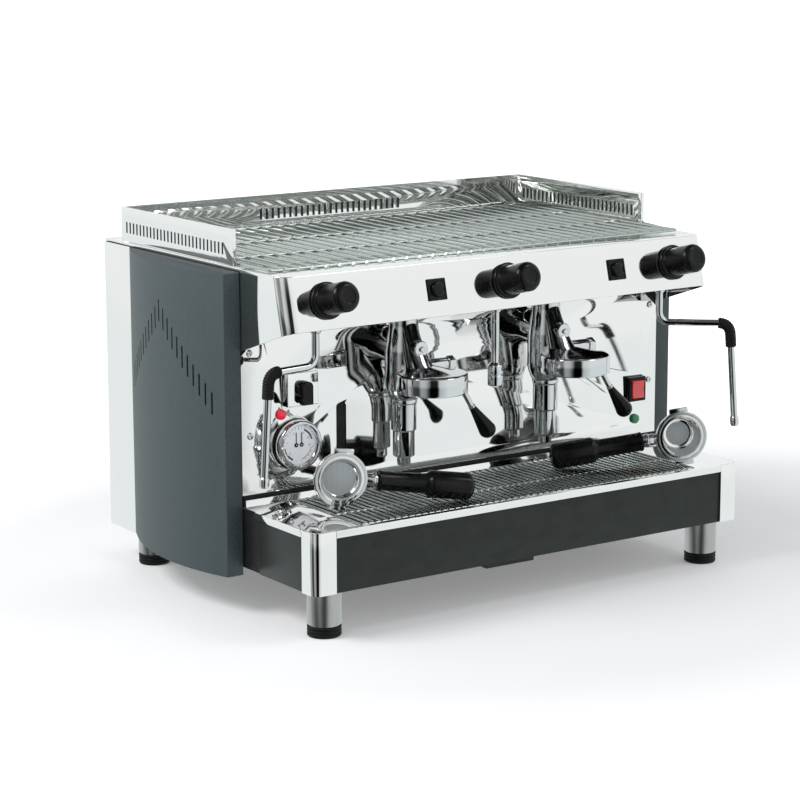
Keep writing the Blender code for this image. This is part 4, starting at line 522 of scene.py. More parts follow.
class EspressoColours(bpy.types.PropertyGroup):
    """Base colours of the finishes."""
    steel: colour("Mirror stainless", "f3f3f1")
    sleeve: colour("Brushed stainless", "b4b5b3")
    chrome: colour("Chrome plate", "d9dbdc")
    wire: colour("Plated wire", "c2cac5")
    panel: colour("Powder coat", "3c474a")
    apron: colour("Satin enamel", "202523")
    frame: colour("Frame paint", "141516")
    black: colour("Phenolic", "0d0d0e")
    rubber: colour("Rubber", "101011")
    basket: colour("Basket steel", "b2b8b9")
    card: colour("Dial card", "f2f6fb")
    copper: colour("Copper", "b87046")
    red: colour("Red lens", "e0122f")
    green: colour("Green lens", "12734b")
    rocker: colour("Red rocker", "cf3b40")
    black_ink: colour("Black ink", "15171b")
    red_ink: colour("Red ink", "c8222c")
    glass: colour("Gauge glass", "202424")


def size(name):
    """One of the sizes, in millimetres."""
    return getattr(bpy.context.scene.espresso_sizes, name) / MM


# Sheet metal and wires

def extruded(name, outline, low, high, edge=0.4, angle=30):
    """Closed plate through (x, depth) points in mm between two levels."""
    curve = drawn(name, [at(x, depth, 0) for x, depth in outline]).data
    curve.splines[0].use_cyclic_u = True
    curve.dimensions = "2D"
    curve.fill_mode = "BOTH"
    curve.extrude = (high - low) / 2 * MM
    piece = as_mesh()
    settle(piece, moved(Matrix(), z=(low + high) / 2))
    weld(piece)
    dissolve(0.5, outward=True)
    if edge:
        ease(piece, edge, 2, angle)
    return piece


def round_corner(centre, radius, start, end, steps=12):
    """Points of an arc between two angles in degrees."""
    points = []
    for k in range(steps + 1):
        angle = math.radians(start + (end - start) * k / steps)
        points.append((centre[0] + radius * math.cos(angle), centre[1] + radius * math.sin(angle)))
    return points


def rounded_front(half, front, back, radius):
    """Outline open at the back, from left to right, with two round front corners."""
    left, right = (radius - half, front + radius), (half - radius, front + radius)
    arcs = round_corner(left, radius, 180, 270) + round_corner(right, radius, -90, 0)
    return [(-half, back)] + arcs + [(half, back)]


def mirrored(points, side):
    return points if side > 0 else [(-x, depth) for x, depth in reversed(points)]


def make_post(name, side):
    """Folded corner plate with a round corner."""
    radius, sheet = 12, 2.6
    centre = (HALF_WIDTH - radius, radius)
    outer = [(HALF_WIDTH - 33, 0)] + round_corner(centre, radius, -90, 0) + [(HALF_WIDTH, 30)]
    inner = [(HALF_WIDTH - sheet, 30)] + round_corner(centre, radius - sheet, 0, -90)
    inner += [(HALF_WIDTH - 33, sheet)]
    piece = extruded(name + "_plate", mirrored(outer + inner, side), BASE_BOTTOM, 143, 0.5)
    finished(piece, "steel", name)


def make_apron():
    """Bent sheet behind the corner posts."""
    half, front, back, radius, sheet = HALF_WIDTH - 3, 2.9, 135, 9.1, 2
    outer = rounded_front(half, front, back, radius)
    inner = rounded_front(half - sheet, front + sheet, back, radius - sheet)
    piece = extruded("apron_sheet", outer + inner[::-1], BASE_BOTTOM, 140.5, 0.4)
    finished(piece, "apron", "base_apron")


def panel_plan(inset, steps=40):
    """Curve of a side panel in plan, from back to front, drawn in by inset."""
    start, end, bulge = Vector((346, 462)), Vector((370, 178)), 30
    chord = end - start
    radius = (chord.length ** 2 / 4 + bulge ** 2) / (2 * bulge)
    outward = Vector((-chord.y, chord.x)).normalized()
    centre = (start + end) / 2 - outward * (radius - bulge)
    first = start - centre
    sweep = first.angle_signed(end - centre)
    return [tuple(centre + Matrix.Rotation(-sweep * k / steps, 2) @ first * (1 - inset / radius))
            for k in range(steps + 1)]


def make_side_panel(name, side):
    """Bowed side panel with a folded front edge and a chevron of vents."""
    outer = panel_plan(0)[:-1] + round_corner((368.5, 177.5), 1.5, 0, -90, 4) + [(346, 176)]
    inner = panel_plan(1.2)[1:-1] + [(368.4, 177.4), (341, 177.4), (341, 459)]
    shell = extruded(name + "_sheet", mirrored(outer, side), 52, 447.5, 0.7, 40)
    hollow = extruded("hollow", mirrored(inner, side), 54.2, 445.3, 0)
    carve(shell, hollow)
    vents = []
    wide, long = size("vent_width") / 2, 29
    run, fall = 11.1, 10.7
    for arm in (-1, 1):
        for k in range((arm + 1) // 2, 11):
            depth, top = 309 + arm * k * run, 400 - k * fall
            low, high = sorted((side * 356, side * 402))
            vents.append(slab("vent", at(low, depth - wide, top - long), at(high, depth + wide, top),
                              wide * 0.85, segments=3))
    carve(shell, join(vents))
    finished(shell, "panel", name, angle=40)


def hood_solid(inset):
    """The hood's block, drawn in by inset; the one drawn in runs out below the lip, which leaves it open."""
    half, radius = HOOD_HALF - inset, size("hood_corner") - inset
    front, back = HOOD_FRONT + inset * math.hypot(1, HOOD_LEAN), SPLASH + (8 if inset else 0)
    piece = extruded("hood_sheet", rounded_front(half, front, back, radius), 0, 1, 0)
    lip_depth, lip_level, fall, open_level = 63, 384, 38, 330
    drop = fall / (SPLASH - lip_depth)
    for vertex in piece.data.vertices:
        depth = (vertex.co.y - FRONT) / MM
        lean = 0 if depth > back - 0.01 else HOOD_LEAN
        if vertex.co.z > 0.5 * MM:
            z = HOOD_TOP - inset
        elif inset:
            z = open_level
        else:
            z = (lip_level - drop * (depth - HOOD_TOP * lean - lip_depth)) / (1 + drop * lean)
        vertex.co.y = FRONT + (depth - (HOOD_TOP - z) * lean) * MM
        vertex.co.z = z * MM
    return piece


def make_hood():
    shell = hood_solid(0)
    ease(shell, size("sheet_edge") * 1.5, 3, 40)
    carve(shell, hood_solid(2))
    for x in TAPS.values():
        carve(shell, turned("hole", [(TAP_BORE, -6), (TAP_BORE, 4)], on_hood(x, TAP_HEIGHT), edge=0))
    for x in BUTTONS.values():
        carve(shell, pad("hole", 24.4, 24.4, -6, 4, 0, on_hood(x, BUTTON_HEIGHT)))
    finished(shell, "steel", "hood", angle=40)


def wire_grid(name, node_name, body, half, front, back, top, wire, pitch, rails):
    """Round wires from front to back, their ends bent down to the first and last of the cross rails."""
    radius = wire / 2
    rail_radius = 1.9
    low = top - 4.5 + rail_radius
    count = round(2 * half / pitch)
    ends = [at(-half, front, low), at(-half, front + 1.6, top - radius), at(-half, back - 1.6, top - radius),
            at(-half, back, low)]
    bar = tube(name, arc_path(ends, 1.2, 3), [radius] * 16, 4)
    modify(bar, "ARRAY", count=count + 1, use_relative_offset=False, use_constant_offset=True,
           constant_offset_displace=(2 * half / count * MM, 0, 0))
    parts = [bar]
    for depth in rails:
        parts.append(tube(name + "_rail", [at(-half - radius, depth, low), at(half + radius, depth, low)],
                          [rail_radius] * 2, 4))
    finished(join(parts), "wire", node_name, body, angle=60)


def make_slot_shade_strips():
    """Black strips inside the rail's walls, behind their slots: painted shade that keeps the slots dark where
    the room behind would show.
    """
    low, high = 463.5, 480.5
    strips = [slab("lining", at(-328, 493, low), at(328, 493.5, high), 0)]
    strips += [slab("lining", at(x, 214, low), at(x + 0.5, 484, high), 0) for x in (-339.5, 339)]
    finished(join(strips), "frame").name = "rail_lining"


RUBBER_END = [(19, 0), (21, 0.5), (22, 2.2), (22, 4.6), (20.9, 5.2), (20.9, 6.4), (22, 7), (22, 9),
              (20.9, 9.6), (20.9, 10.8), (22, 11.4), (22, 13.4), (20.6, 14.8)]


def make_feet():
    """Brushed sleeves on grooved rubber ends."""
    for end, depth in (("front", 36), ("rear", 470)):
        for side_name, side in SIDES:
            place = upright(side * 313, depth)
            node_name = f"foot_{end}_{side_name}"
            rubber = turned(node_name + "_rubber", RUBBER_END, place, edge=0.4)
            finished(rubber, "rubber", node_name)
            sleeve = turned(node_name + "_sleeve", [(20.6, 14.9), (20.6, 16.2), (22, 16.2), (22, 62)], place)
            finished(sleeve, "sleeve")


def screw_head(name, place, diameter):
    """Domed cross-recess screw head seated on its place."""
    radius = diameter / 2
    head = turned(name, [(radius, 0), (radius, 0.5), (radius * 0.82, 1.5), (radius * 0.45, 2.1)], edge=0.25)
    for turn in (0.3, 0.3 + math.pi / 2):
        carve(head, pad("recess", radius * 1.1, 1, 1, 3, 0, Matrix.Rotation(turn, 4, "Z")))
    settle(head, place)
    return head


def make_screws():
    for side_name, side in SIDES:
        for row, z in (("upper", 342.5), ("lower", 234)):
            name = f"splash_screw_{row}_{side_name}"
            head = screw_head(name, facing_front(side * 333, z, SPLASH + 0.2), size("screw_head"))
            finished(head, "chrome", angle=30)


class Step:
    """What all building steps share."""
    bl_options = {"REGISTER", "UNDO"}

    def execute(self, context):
        self.build()
        return {"FINISHED"}


class ESPRESSO_OT_base(Step, bpy.types.Operator):
    """Make the base: corner posts, apron, tray surround, basin and feet"""
    bl_idname = "espresso.base"
    bl_label = "Base"

    def build(self):
        for side_name, side in SIDES:
            make_post("corner_post_" + side_name, side)
        make_apron()
        softened("tray_surround", "tray_sheet", "steel", size("sheet_edge"))
        softened("drip_basin", "basin_sheet", "sleeve", size("sheet_edge"))
        make_feet()


class ESPRESSO_OT_body(Step, bpy.types.Operator):
    """Make the body: splash panel and its screws, side panels, rear cover, deck and hood"""
    bl_idname = "espresso.body"
    bl_label = "Body"

    def build(self):
        for node_name, name in (("splash_panel", "splash_sheet"), ("rear_cover", "rear_sheet"),
                                ("top_deck", "deck_sheet")):
            softened(node_name, name, "steel", size("sheet_edge"))
        make_screws()
        for side_name, side in SIDES:
            make_side_panel("side_panel_" + side_name, side)
        make_hood()


class ESPRESSO_OT_grids(Step, bpy.types.Operator):
    """Make the cup rail and the two wire grids"""
    bl_idname = "espresso.grids"
    bl_label = "Rail and grids"

    def build(self):
        softened("cup_rail", "cup_rail_sheet", "steel", size("sheet_edge") / 2)
        # Black strips behind the rail's slots: painted shade
        make_slot_shade_strips()
        wire_grid("cup_wires", "cup_grid", "cup_tray", 332.5, 123, 487, 456.8, size("cup_wire"),
                  size("cup_pitch"), (125, 246, 366, 485))
        wire_grid("drip_wires", "drip_grid", "drip_tray", 273.6, 9.5, 166.5, 144.8, size("drip_wire"),
                  size("drip_pitch"), (11, 72, 165))


# Castings, taps and wands

def shares(count):
    return [(k + 1) / count for k in range(count)]


def make_group(side_name, x):
    """Brew group: ring, rising arm, column, neck, boss and cam shaft, then the lower chamber."""
    name = "group_body_" + side_name
    rings = [(at(x, RING_DEPTH, z), radius) for z, radius in (
        (284, 45.8), (285, 46.8), (286.2, 47), (306.6, 47), (308, 46.4), (308.8, 45.2), (309.1, 43))]
    for t in shares(10):
        rings.append((at(x, RING_DEPTH + 30 * t, 309.1 + 4.6 * t ** 1.6), 43 - 24 * t))
    for t in shares(16):
        rings.append((at(x, 106 + 32 * t ** 0.9, 313.7 + 64 * t), 12.7 + 6.3 * (1 - t) ** 2.2))
    rings.append((at(x, 138.4, 380), 10))
    body = stacked(name + "_casting", rings, 64)
    carve(body, turned("bore", [(37, 278), (37, 298)], upright(x, RING_DEPTH), 64, 0))
    column = turned("column", [
        (18.9, 265.5), (21, 270), (23.4, 277), (24.7, 283.5), (25, 290), (25, 328), (24.5, 334), (22.9, 343),
        (21.2, 352), (20, 359), (19.5, 365), (19.5, 384), (18.7, 387), (16.5, 388)],
                    upright(x, COLUMN_DEPTH), 64)
    neck = turned("neck", [(23.8, 0), (23.8, 43.7), (34, 43.7), (34, 49.7)],
                  along(at(x, COLUMN_DEPTH, 334), (0, 1, 0)))
    boss = turned("boss", [(8.6, 0), (10.2, 0.5), (11, 1.9), (11, 38)], along(at(x, 98.5, 336), (0, 1, 0)))
    plug = turned("plug", [(4.2, -1), (4.2, 2.4), (3.4, 3.1)], along(at(x, 98.5, 336), (0, -1, 0)), 6, 0.3)
    cam = turned("cam", [(8.8, 0), (8.8, 47.5), (8.2, 49), (7.4, 50)], along(at(x, 114, 310), (1, 0, 0)))
    screen = turned("screen", [(35.5, 295), (35.5, 297.9)], upright(x, RING_DEPTH))
    finished(join([body, column, neck, boss, plug, cam, screen]), "chrome", name, angle=40)
    chamber = turned("group_chamber_cup_" + side_name, [
        (5.5, 175), (8, 175.6), (9, 177.5), (9, 186), (10, 187.2), (13.4, 187.6), (14.6, 189), (14.6, 222),
        (16.2, 223), (17, 224), (17, 258.5), (17.6, 259.5), (18.2, 260.5), (18.2, 265.1)],
                     upright(x, COLUMN_DEPTH), 64)
    finished(chamber, "chrome", "group_chamber_" + side_name, angle=40)


def make_lever(side_name, x):
    body = "brew_lever_" + side_name
    centre = pivot(body + "_lift")
    hub = turned("lever_hub", [(9.4, 0), (10.2, 0.8), (10.2, 9.6), (9.4, 10.6), (7, 11)],
                 along(centre, (1, 0, 0)), 6)
    bend, end, tip = at(x + 67, 114, 288), at(x + 92, 112, 246), at(x + 117, 103, 206)
    way = (tip - end).normalized()
    start = centre + Vector((5.5 * MM, 0, 0))
    rod = tube("lever_rod", arc_path([start, bend, end - way * 4 * MM, end + way * 6 * MM], 3), [4] * 36, 6)
    collar = turned("lever_collar", [(4.6, -3.2), (5.2, -2.4), (5.2, -0.9), (4.6, -0.2)],
                    along(end, way, (1, 0, 0)))
    finished(join([hub, rod, collar]), "chrome", "lever_" + side_name, body, angle=40)
    long = (tip - end).length / MM
    profile = [(4.4, 0.3), (4.9, 1), (5.1, 2.4), (11.6, long - 12.6)]
    profile += quarter(11.8, long, 11.2, 10) + [(0.4, long)]
    grip = turned("lever_handle_" + side_name, profile, along(end, way, (1, 0, 0)), 48, 0)
    finished(grip, "black", "lever_grip_" + side_name, body, angle=40)


def make_tap(name, valve, x):
    """Valve body behind the hood with its thin collar, and the flanged knob in front."""
    place = on_hood(x, TAP_HEIGHT)
    collar = turned(valve + "_collar", [(12.5, -34), (12.5, -2.4), (17.4, -2.4), (17.4, 0.3), (17, 0.8),
                                        (4, 0.8), (4, 20)], place)
    outlet = turned("outlet", [(7, 387.1), (7.5, 388), (7.5, 412)], upright(x, TAP_DEPTH), 32)
    finished(join([collar, outlet]), "black", valve)
    profile = [(4.3, 21), (4.3, 1.1), (22.6, 1.1), (23.7, 1.7), (24, 2.8), (24, 4.4), (23.4, 5.7), (22, 6.5),
               (20, 7), (19.4, 7.8), (19.4, 44.6)]
    profile += quarter(19.6, 53.1, 8.5, 8)[1:] + [(10.2, 53.1), (9.4, 52.5), (8.6, 52.3)]
    knob = turned(name + "_grip", profile, place, 64)
    finished(knob, "black", name, name, angle=30)


def make_button(side_name, x):
    """Square black bezel with a raised rim and its round push button."""
    place = on_hood(x, BUTTON_HEIGHT)
    frame_box = pad("button_frame_" + side_name, 28.5, 28.5, 0.3, 2.5, 1.1, place, 4)
    carve(frame_box, pad("inner", 23.8, 23.8, 1.7, 6, 0.5, place))
    carve(frame_box, pad("shaft", 24, 24, -16, 1.2, 0.3, place), "UNION")
    carve(frame_box, turned("bore", [(9.9, -11.8), (9.9, 5)], place, 48, 0))
    finished(frame_box, "black", "button_bezel_" + side_name)
    profile = [(9.4, -8.5), (9.4, 4.6)] + [(9.4 - 4.4 * (1 - math.cos(a)), 4.6 + 1.9 * math.sin(a))
                                           for a in (0.3, 0.6, 0.9, 1.2, 1.5)] + [(2, 7.2), (0.5, 7.4)]
    cap = turned("button_cap_" + side_name, profile, place, 48, 0)
    finished(cap, "black", "button_" + side_name, "push_button_" + side_name)


def spaced(points, step):
    """Points at even steps in mm along a path."""
    found, carried = [points[0]], 0.0
    for start, end in zip(points, points[1:]):
        run = (end - start).length / MM
        while run and carried + run >= step:
            start = start + (end - start).normalized() * (step - carried) * MM
            run = (end - start).length / MM
            found.append(start)
            carried = 0.0
        carried += run
    return found


WANDS = {"left": ((-357, 90, 332), (-366, 90, 187)), "right": ((364, 41, 331), (372, 35.5, 186))}


def make_wand(side_name):
    """Bent steam pipe with its nut and nozzle, and the ribbed grip on its knee."""
    x, (knee, tip) = TAPS[side_name], WANDS[side_name]
    body = "steam_wand_" + side_name
    corners = [at(x, TAP_DEPTH, 381), at(x, TAP_DEPTH, 333), at(*knee), at(*tip)]
    path = arc_path(corners, 16, 14)
    pipe = tube("wand_pipe_" + side_name, path, [4.9] * len(path), 8)
    nut = turned("nut", [(5.6, 374.7), (7.2, 376.2), (7.2, 384.6), (6, 386.7)], upright(x, TAP_DEPTH), 32)
    way = (corners[-1] - corners[-2]).normalized()
    place = along(corners[-1], way, (0, 1, 0))
    nozzle = turned("nozzle", [(4.9, -14), (5.5, -12.6), (6.2, -11.4), (6.2, -3.2), (5.2, -0.8), (3.4, 0.3)],
                    place, 32)
    carve(nozzle, turned("hole", [(1.2, -4), (1.2, 2)], place, 16, 0))
    finished(join([pipe, nut, nozzle]), "chrome", "wand_" + side_name, body, angle=40)
    bend, step = path[-16:-1], 0.65
    route = spaced(bend + [bend[-1] + way * 17 * MM], step)
    rib = size("grip_rib") / step
    radii = [7.5 + 0.45 * math.cos(math.tau * k / rib) for k in range(len(route))]
    radii[0] = radii[-1] = 6.9
    grip = tube("wand_sleeve_" + side_name, route, radii, 8)
    finished(grip, "rubber", "wand_grip_" + side_name, body, angle=60)


def make_spout():
    spout = turned("water_nozzle", [
        (8.4, 275.5), (10, 276.3), (10.5, 277.6), (10.5, 289.5), (10.0, 290), (10.0, 291), (10.5, 291.6),
        (10.5, 300.5), (9.6, 303.4), (7.4, 305.8), (5.3, 307.2), (5.3, 360), (5.7, 360.4), (5.7, 361.6),
        (5.3, 362), (5.3, 374.5), (7.2, 374.9), (7.2, 385.4), (6.2, 386.7)], upright(0, TAP_DEPTH), 48)
    carve(spout, turned("mouth", [(8, 270), (8, 284)], upright(0, TAP_DEPTH), 32, 0))
    finished(spout, "chrome", "water_spout", angle=40)


# Controls on the splash panel

def make_selector():
    """Chrome box on the splash panel with a bar-shaped black pointer knob."""
    x, z = SELECTOR
    front = SPLASH - 14
    place = facing_front(x, z, front)
    box = slab("selector_box", at(x - 23.5, front, z - 22), at(x + 23.5, SPLASH, z + 22), 0.8, segments=3)
    carve(box, turned("bore", [(3.4, -8), (3.4, 4)], place, 32, 0))
    finished(box, "steel", "selector_plate")
    disc = turned("selector_disc", [(3, -7), (3, 0.3), (11.2, 0.3), (11.5, 0.9), (11.5, 4.2), (10.4, 6)],
                  place, 64)
    pointer = pad("pointer", 15, 23, 3, 13, 0, place, lift=-7.5)
    crown = turned("crown", [(7.5, 3), (7.5, 13)], moved(place, y=4), 64, 0)
    carve(pointer, crown, "UNION")
    ease(pointer, 0.8, 3, 50)
    finished(join([disc, pointer]), "black", "selector_knob", "selector", angle=40)


def make_lamp(node_name, finish, x, z):
    """Domed lens with its rim."""
    profile = [(4.8, -16), (4.8, 0.1), (6.8, 0.1), (6.8, 1.4)]
    profile += [(6.8 * math.cos(a), 1.4 + 2.1 * math.sin(a)) for a in (0.25, 0.5, 0.75, 1.0, 1.25, 1.5)]
    lamp = turned(node_name + "_lens", profile, facing_front(x, z), 48, 0)
    finished(lamp, finish, node_name, angle=60)


def dial_mark(place, radius, angle, long, wide):
    """Printed stroke that points to the middle of the dial."""
    turn = Matrix.Rotation(-math.radians(angle), 4, "Z")
    return pad("stroke", wide, long, DIAL_LEVEL, DIAL_LEVEL + 0.06, 0, place @ turn, lift=radius - long / 2)


def dial_arc(place, radius, wide, start, end):
    """Printed band between two angles from the top, clockwise."""
    outline = []
    for reach, order in ((radius, 1), (radius - wide, -1)):
        arc = [math.radians(start + (end - start) * k / 24) for k in range(25)][::order]
        outline += [(reach * math.sin(a), reach * math.cos(a)) for a in arc]
    band = extruded("band", outline, 0, 0.06, 0)
    settle(band, place @ Matrix.Translation((0, -FRONT, DIAL_LEVEL * MM)))
    return band


def dial_number(place, text, radius, angle, high):
    """Printed number, upright, at an angle from the top."""
    deselect()
    bpy.ops.object.text_add()
    piece = named("number")
    for key, value in {"body": text, "size": high * MM, "align_x": "CENTER", "align_y": "CENTER",
                       "extrude": 0.03 * MM}.items():
        setattr(piece.data, key, value)
    piece = as_mesh()
    a = math.radians(angle)
    settle(piece, moved(place, radius * math.sin(a), radius * math.cos(a), DIAL_LEVEL))
    return piece


def make_dial(place):
    """White card with two scales, plain numbers and the pins of the needles."""
    card = turned("gauge_card", [(27.6, 5.4), (27.6, DIAL_LEVEL)], place, 96)
    pins = [turned("pin", [(0.7, 6.2), (0.7, top)], moved(place, x), 16, 0)
            for x, top in ((-NEEDLE_X, 7.9), (NEEDLE_X, 8.8))]
    finished(join([card] + pins), "card", "gauge_dial")
    black = [dial_arc(place, 21.8, 2, 25, 75), dial_arc(place, 21.8, 2, 205, 232)]
    for k in range(25):
        angle = -150 + 12.5 * k
        if not 85 < angle % 360 < 200:
            black.append(dial_mark(place, 23.4, angle, 1.8 if k % 4 else 3, 0.6))
    for radius, high, step, angles in ((17, 4, 1, (-128, -78, -28)), (16.6, 3.8, 8, (28, 62, 96))):
        black += [dial_number(place, str(k * step), radius, angle, high) for k, angle in enumerate(angles)]
    finished(join(black), "black_ink", angle=30).name = "dial_print_black"
    red = [dial_arc(place, 20.6, 0.9, 105, 165)]
    red += [dial_mark(place, 23.4, angle, 2.4, 0.5) for angle in range(104, 169, 16)]
    red.append(dial_arc(place, 21.8, 1.4, 235, 262))
    finished(join(red), "red_ink", angle=30).name = "dial_print_red"


def make_gauge():
    """Gauge: black case, bright bezel rings, dial, needles and glass."""
    place = facing_front(*GAUGE)
    case = turned("gauge_housing", [(27, -30), (27, 0.1), (32.2, 0.1), (32.6, 0.8), (32.6, 3.4)], place, 96)
    finished(case, "black", "gauge_case")
    ring = turned("gauge_bezel", [(31.6, 3), (33, 3.6), (33, 10.4), (32.2, 12.6), (30.8, 13.8), (29.6, 14)],
                  place, 96)
    recess = [(25.5, 1), (25.5, 9.4), (26.2, 10.6), (27.6, 10.6), (27.6, 11.8), (28.4, 12.6), (29.2, 16)]
    carve(ring, turned("recess", recess, place, 96, 0))
    finished(ring, "chrome", angle=30)
    make_dial(place)
    for name, x, level in (("boiler", -NEEDLE_X, 6.8), ("pump", NEEDLE_X, 7.7)):
        spot = moved(place, x, z=level)
        hub = turned("hub", [(2.9, 0), (2.9, 0.7), (2.5, 0.9)], spot, 32, 0.1)
        blade = pad("blade", 1.2, 19.5, 0.1, 0.6, 0.1, spot, lift=6.75)
        pointer = join([hub, blade])
        pointer.name = f"needle_{name}_hand"
        finished(pointer, "black_ink", "needle_" + name, name + "_needle")
    glass = turned("gauge_window", [(27.5, 10.7), (27.5, 11.4)], place, 96, 0.2)
    finished(glass, "glass", "gauge_glass")


def make_sight_glass():
    """Black back plate behind the slot, with the glass tube in front of it."""
    back = slab("sight_back", at(-206.8, 178.4, 164), at(-179.2, 186.3, 267.6), 0.5)
    finished(back, "frame", "sight_glass")
    gauge_tube = turned("sight_tube", [(4.4, 172), (4.5, 173), (4.5, 258.5), (4.4, 259.5)],
                        upright(-193, 178.4), 32)
    finished(gauge_tube, "glass")


def make_switch():
    place = facing_front(*SWITCH)
    bezel = pad("switch_bezel", 30, 35, 0.1, 6, 0.9, place, 3)
    carve(bezel, pad("hollow", 21, 27.8, -6, 12, 0.4, place))
    finished(bezel, "black", "rocker_frame")
    rocker = pad("rocker_cap", 20, 25, -4, 9, 0.7, place, 3)
    dish = turned("dish", [(60, -10.3), (60, 10.3)],
                  moved(place, z=67.8) @ Matrix.Rotation(math.pi / 2, 4, "Y"), 128, 0)
    carve(rocker, dish)
    finished(rocker, "rocker", "rocker", "rocker_switch", angle=40)


# Portafilters

def portafilter_place(centre, heading):
    """Matrix whose x runs down the handle and whose z comes out of the mouth."""
    tilt = math.atan2(22, 159.5)
    height = 145.1 + 40 * math.cos(tilt) + HANDLE_DROP * math.sin(tilt)
    angle = math.radians(heading)
    level = Vector((math.cos(angle), math.sin(angle), 0))
    x = level * math.cos(tilt) - Vector((0, 0, math.sin(tilt)))
    z = Vector((level.y, -level.x, 0)) * (1 if level.x > 0 else -1)
    turn = Matrix((x, z.cross(x), z)).transposed().to_4x4()
    return Matrix.Translation(at(*centre, height)) @ turn


def make_portafilter(side_name, centre, heading, deep):
    """Cast head with lugs, twin-spout block and neck; its basket; and the black handle."""
    place = portafilter_place(centre, heading)
    down_handle = along((0, 0, -HANDLE_DROP * MM), (1, 0, 0))
    body = f"portafilter_{side_name}_set"
    head = turned("portafilter_head_" + side_name, [
        (22, -30), (24.6, -29.4), (26.4, -27.5), (29.5, -20), (31.2, -16.5), (31.5, -14), (31.5, -7.4),
        (32.4, -6.2), (35.1, -6), (35.5, -5.4), (35.5, -0.7), (35.1, -0.1), (33.6, 0)], edge=0.25, sides=96)
    if deep:
        mouth = [(21, -25.5), (24, -24.5), (26.8, -20), (28.2, -4), (28.5, -1.2), (30.8, -0.6), (31.2, 3)]
        pressed = [(16.6, -24.6), (20.4, -24), (23.4, -20.5), (26.6, -6), (27.2, -1.6), (30.6, -1.2),
                   (31.1, -0.6), (30.6, 0)]
        hollow = [(16, -23.6), (19.8, -23), (22.6, -20), (25.9, -6), (26.6, -0.8), (27.6, 3)]
        punched = [(16.4, -23.5), (16.4, -23.2)]
    else:
        mouth = [(24, -10.2), (26.4, -9.5), (28.2, -1.2), (30.8, -0.6), (31.2, 3)]
        pressed = [(21.8, -9.2), (23.2, -8.6), (27.4, -3.6), (27.9, -1.6), (30.6, -1.2), (31.1, -0.6),
                   (30.6, 0)]
        hollow = [(21.4, -8.2), (22.4, -7.6), (26.2, -2.8), (26.9, -0.8), (27.9, 3)]
        punched = [(21.7, -8.1), (21.7, -7.7)]
    carve(head, turned("mouth", mouth, sides=96, edge=0))
    parts = [head]
    for way in (-1, 1):
        parts.append(pad("lug", 26, 10, -4.8, -1.2, 0.9, segments=3, lift=way * 35))
    parts.append(turned("neck", [(8, 29.5), (8, 44), (9.4, 45), (9.4, 48.4), (8.4, 49.4), (8.4, 52.2)],
                        down_handle, 48))
    parts.append(pad("spouts", 13, 40, -46, -28, 2.5, segments=4))
    finished_head = join(parts)
    settle(finished_head, place)
    finished(finished_head, "chrome", "portafilter_" + side_name, body, angle=40)
    basket = turned("basket_" + side_name, pressed, sides=96, edge=0.15)
    carve(basket, turned("hollow", hollow, sides=96, edge=0))
    settle(basket, place)
    finished(basket, "steel", body=body, angle=40)
    floor = turned("basket_floor_" + side_name, punched, place, 64, 0.1)
    finished(floor, "basket", body=body)
    profile = [(9.8, 52.5), (12.2, 53), (13.3, 54.2), (13.3, 56), (12.6, 58), (12.7, 92), (13.2, 114),
               (14.2, 119), (16.4, 121.6), (17.6, 123.2), (18, 125), (18, 160), (17.9, 172.5)]
    profile += quarter(18, 181.5, 9, 8)[1:] + [(6, 181.5)]
    handle = turned("portafilter_grip_" + side_name, profile, place @ down_handle, 64, 0.3)
    finished(handle, "black", "portafilter_handle_" + side_name, body, angle=40)


class ESPRESSO_OT_groups(Step, bpy.types.Operator):
    """Make the two brew groups and their levers"""
    bl_idname = "espresso.groups"
    bl_label = "Groups"

    def build(self):
        for side_name, side in SIDES:
            make_group(side_name, side * GROUP_X)
            make_lever(side_name, side * GROUP_X)


class ESPRESSO_OT_taps(Step, bpy.types.Operator):
    """Make the three taps, their knobs, the wands, the spout and the push buttons"""
    bl_idname = "espresso.taps"
    bl_label = "Taps and buttons"

    def build(self):
        for place, valve in (("left", "steam_valve_left"), ("centre", "water_valve"),
                             ("right", "steam_valve_right")):
            make_tap("knob_" + place, valve, TAPS[place])
        for side_name, x in BUTTONS.items():
            make_wand(side_name)
            make_button(side_name, x)
        make_spout()


class ESPRESSO_OT_controls(Step, bpy.types.Operator):
    """Make the selector, lamps, gauge, sight glass and switch"""
    bl_idname = "espresso.controls"
    bl_label = "Controls"

    def build(self):
        make_selector()
        make_lamp("lamp_red", "red", -286, 256.8)
        make_lamp("lamp_green", "green", 308.8, 179.4)
        make_gauge()
        make_sight_glass()
        make_switch()


class ESPRESSO_OT_portafilters(Step, bpy.types.Operator):
    """Make the two portafilters that lie on the drip grid"""
    bl_idname = "espresso.portafilters"
    bl_label = "Portafilters"

    def build(self):
        make_portafilter("left", (-261, 74), -17.7, False)
        make_portafilter("right", (261, 19), 153.5, True)


class ESPRESSO_OT_inside(Step, bpy.types.Operator):
    """Give the frame, boiler and pump inside the body their finishes"""
    bl_idname = "espresso.inside"
    bl_label = "Inside"

    def build(self):
        for name, finish in (("chassis", "frame"), ("pump_motor", "frame"), ("boiler", "copper")):
            part = frame["nodes"][name]
            part.data.materials.clear()
            part.data.materials.append(paint(finish))


# Stage

ROOM_TONES = ((0, 0.3), (0.03, 0.24), (0.06, 0.7), (0.1, 0.6), (0.125, 0.3), (0.145, 0.015), (0.2, 0.015),
              (0.222, 0.8), (0.3, 0.97), (0.9, 0.97), (0.908, 0.12), (0.925, 0.75), (0.955, 0.7),
              (0.975, 0.3), (1, 0.3))


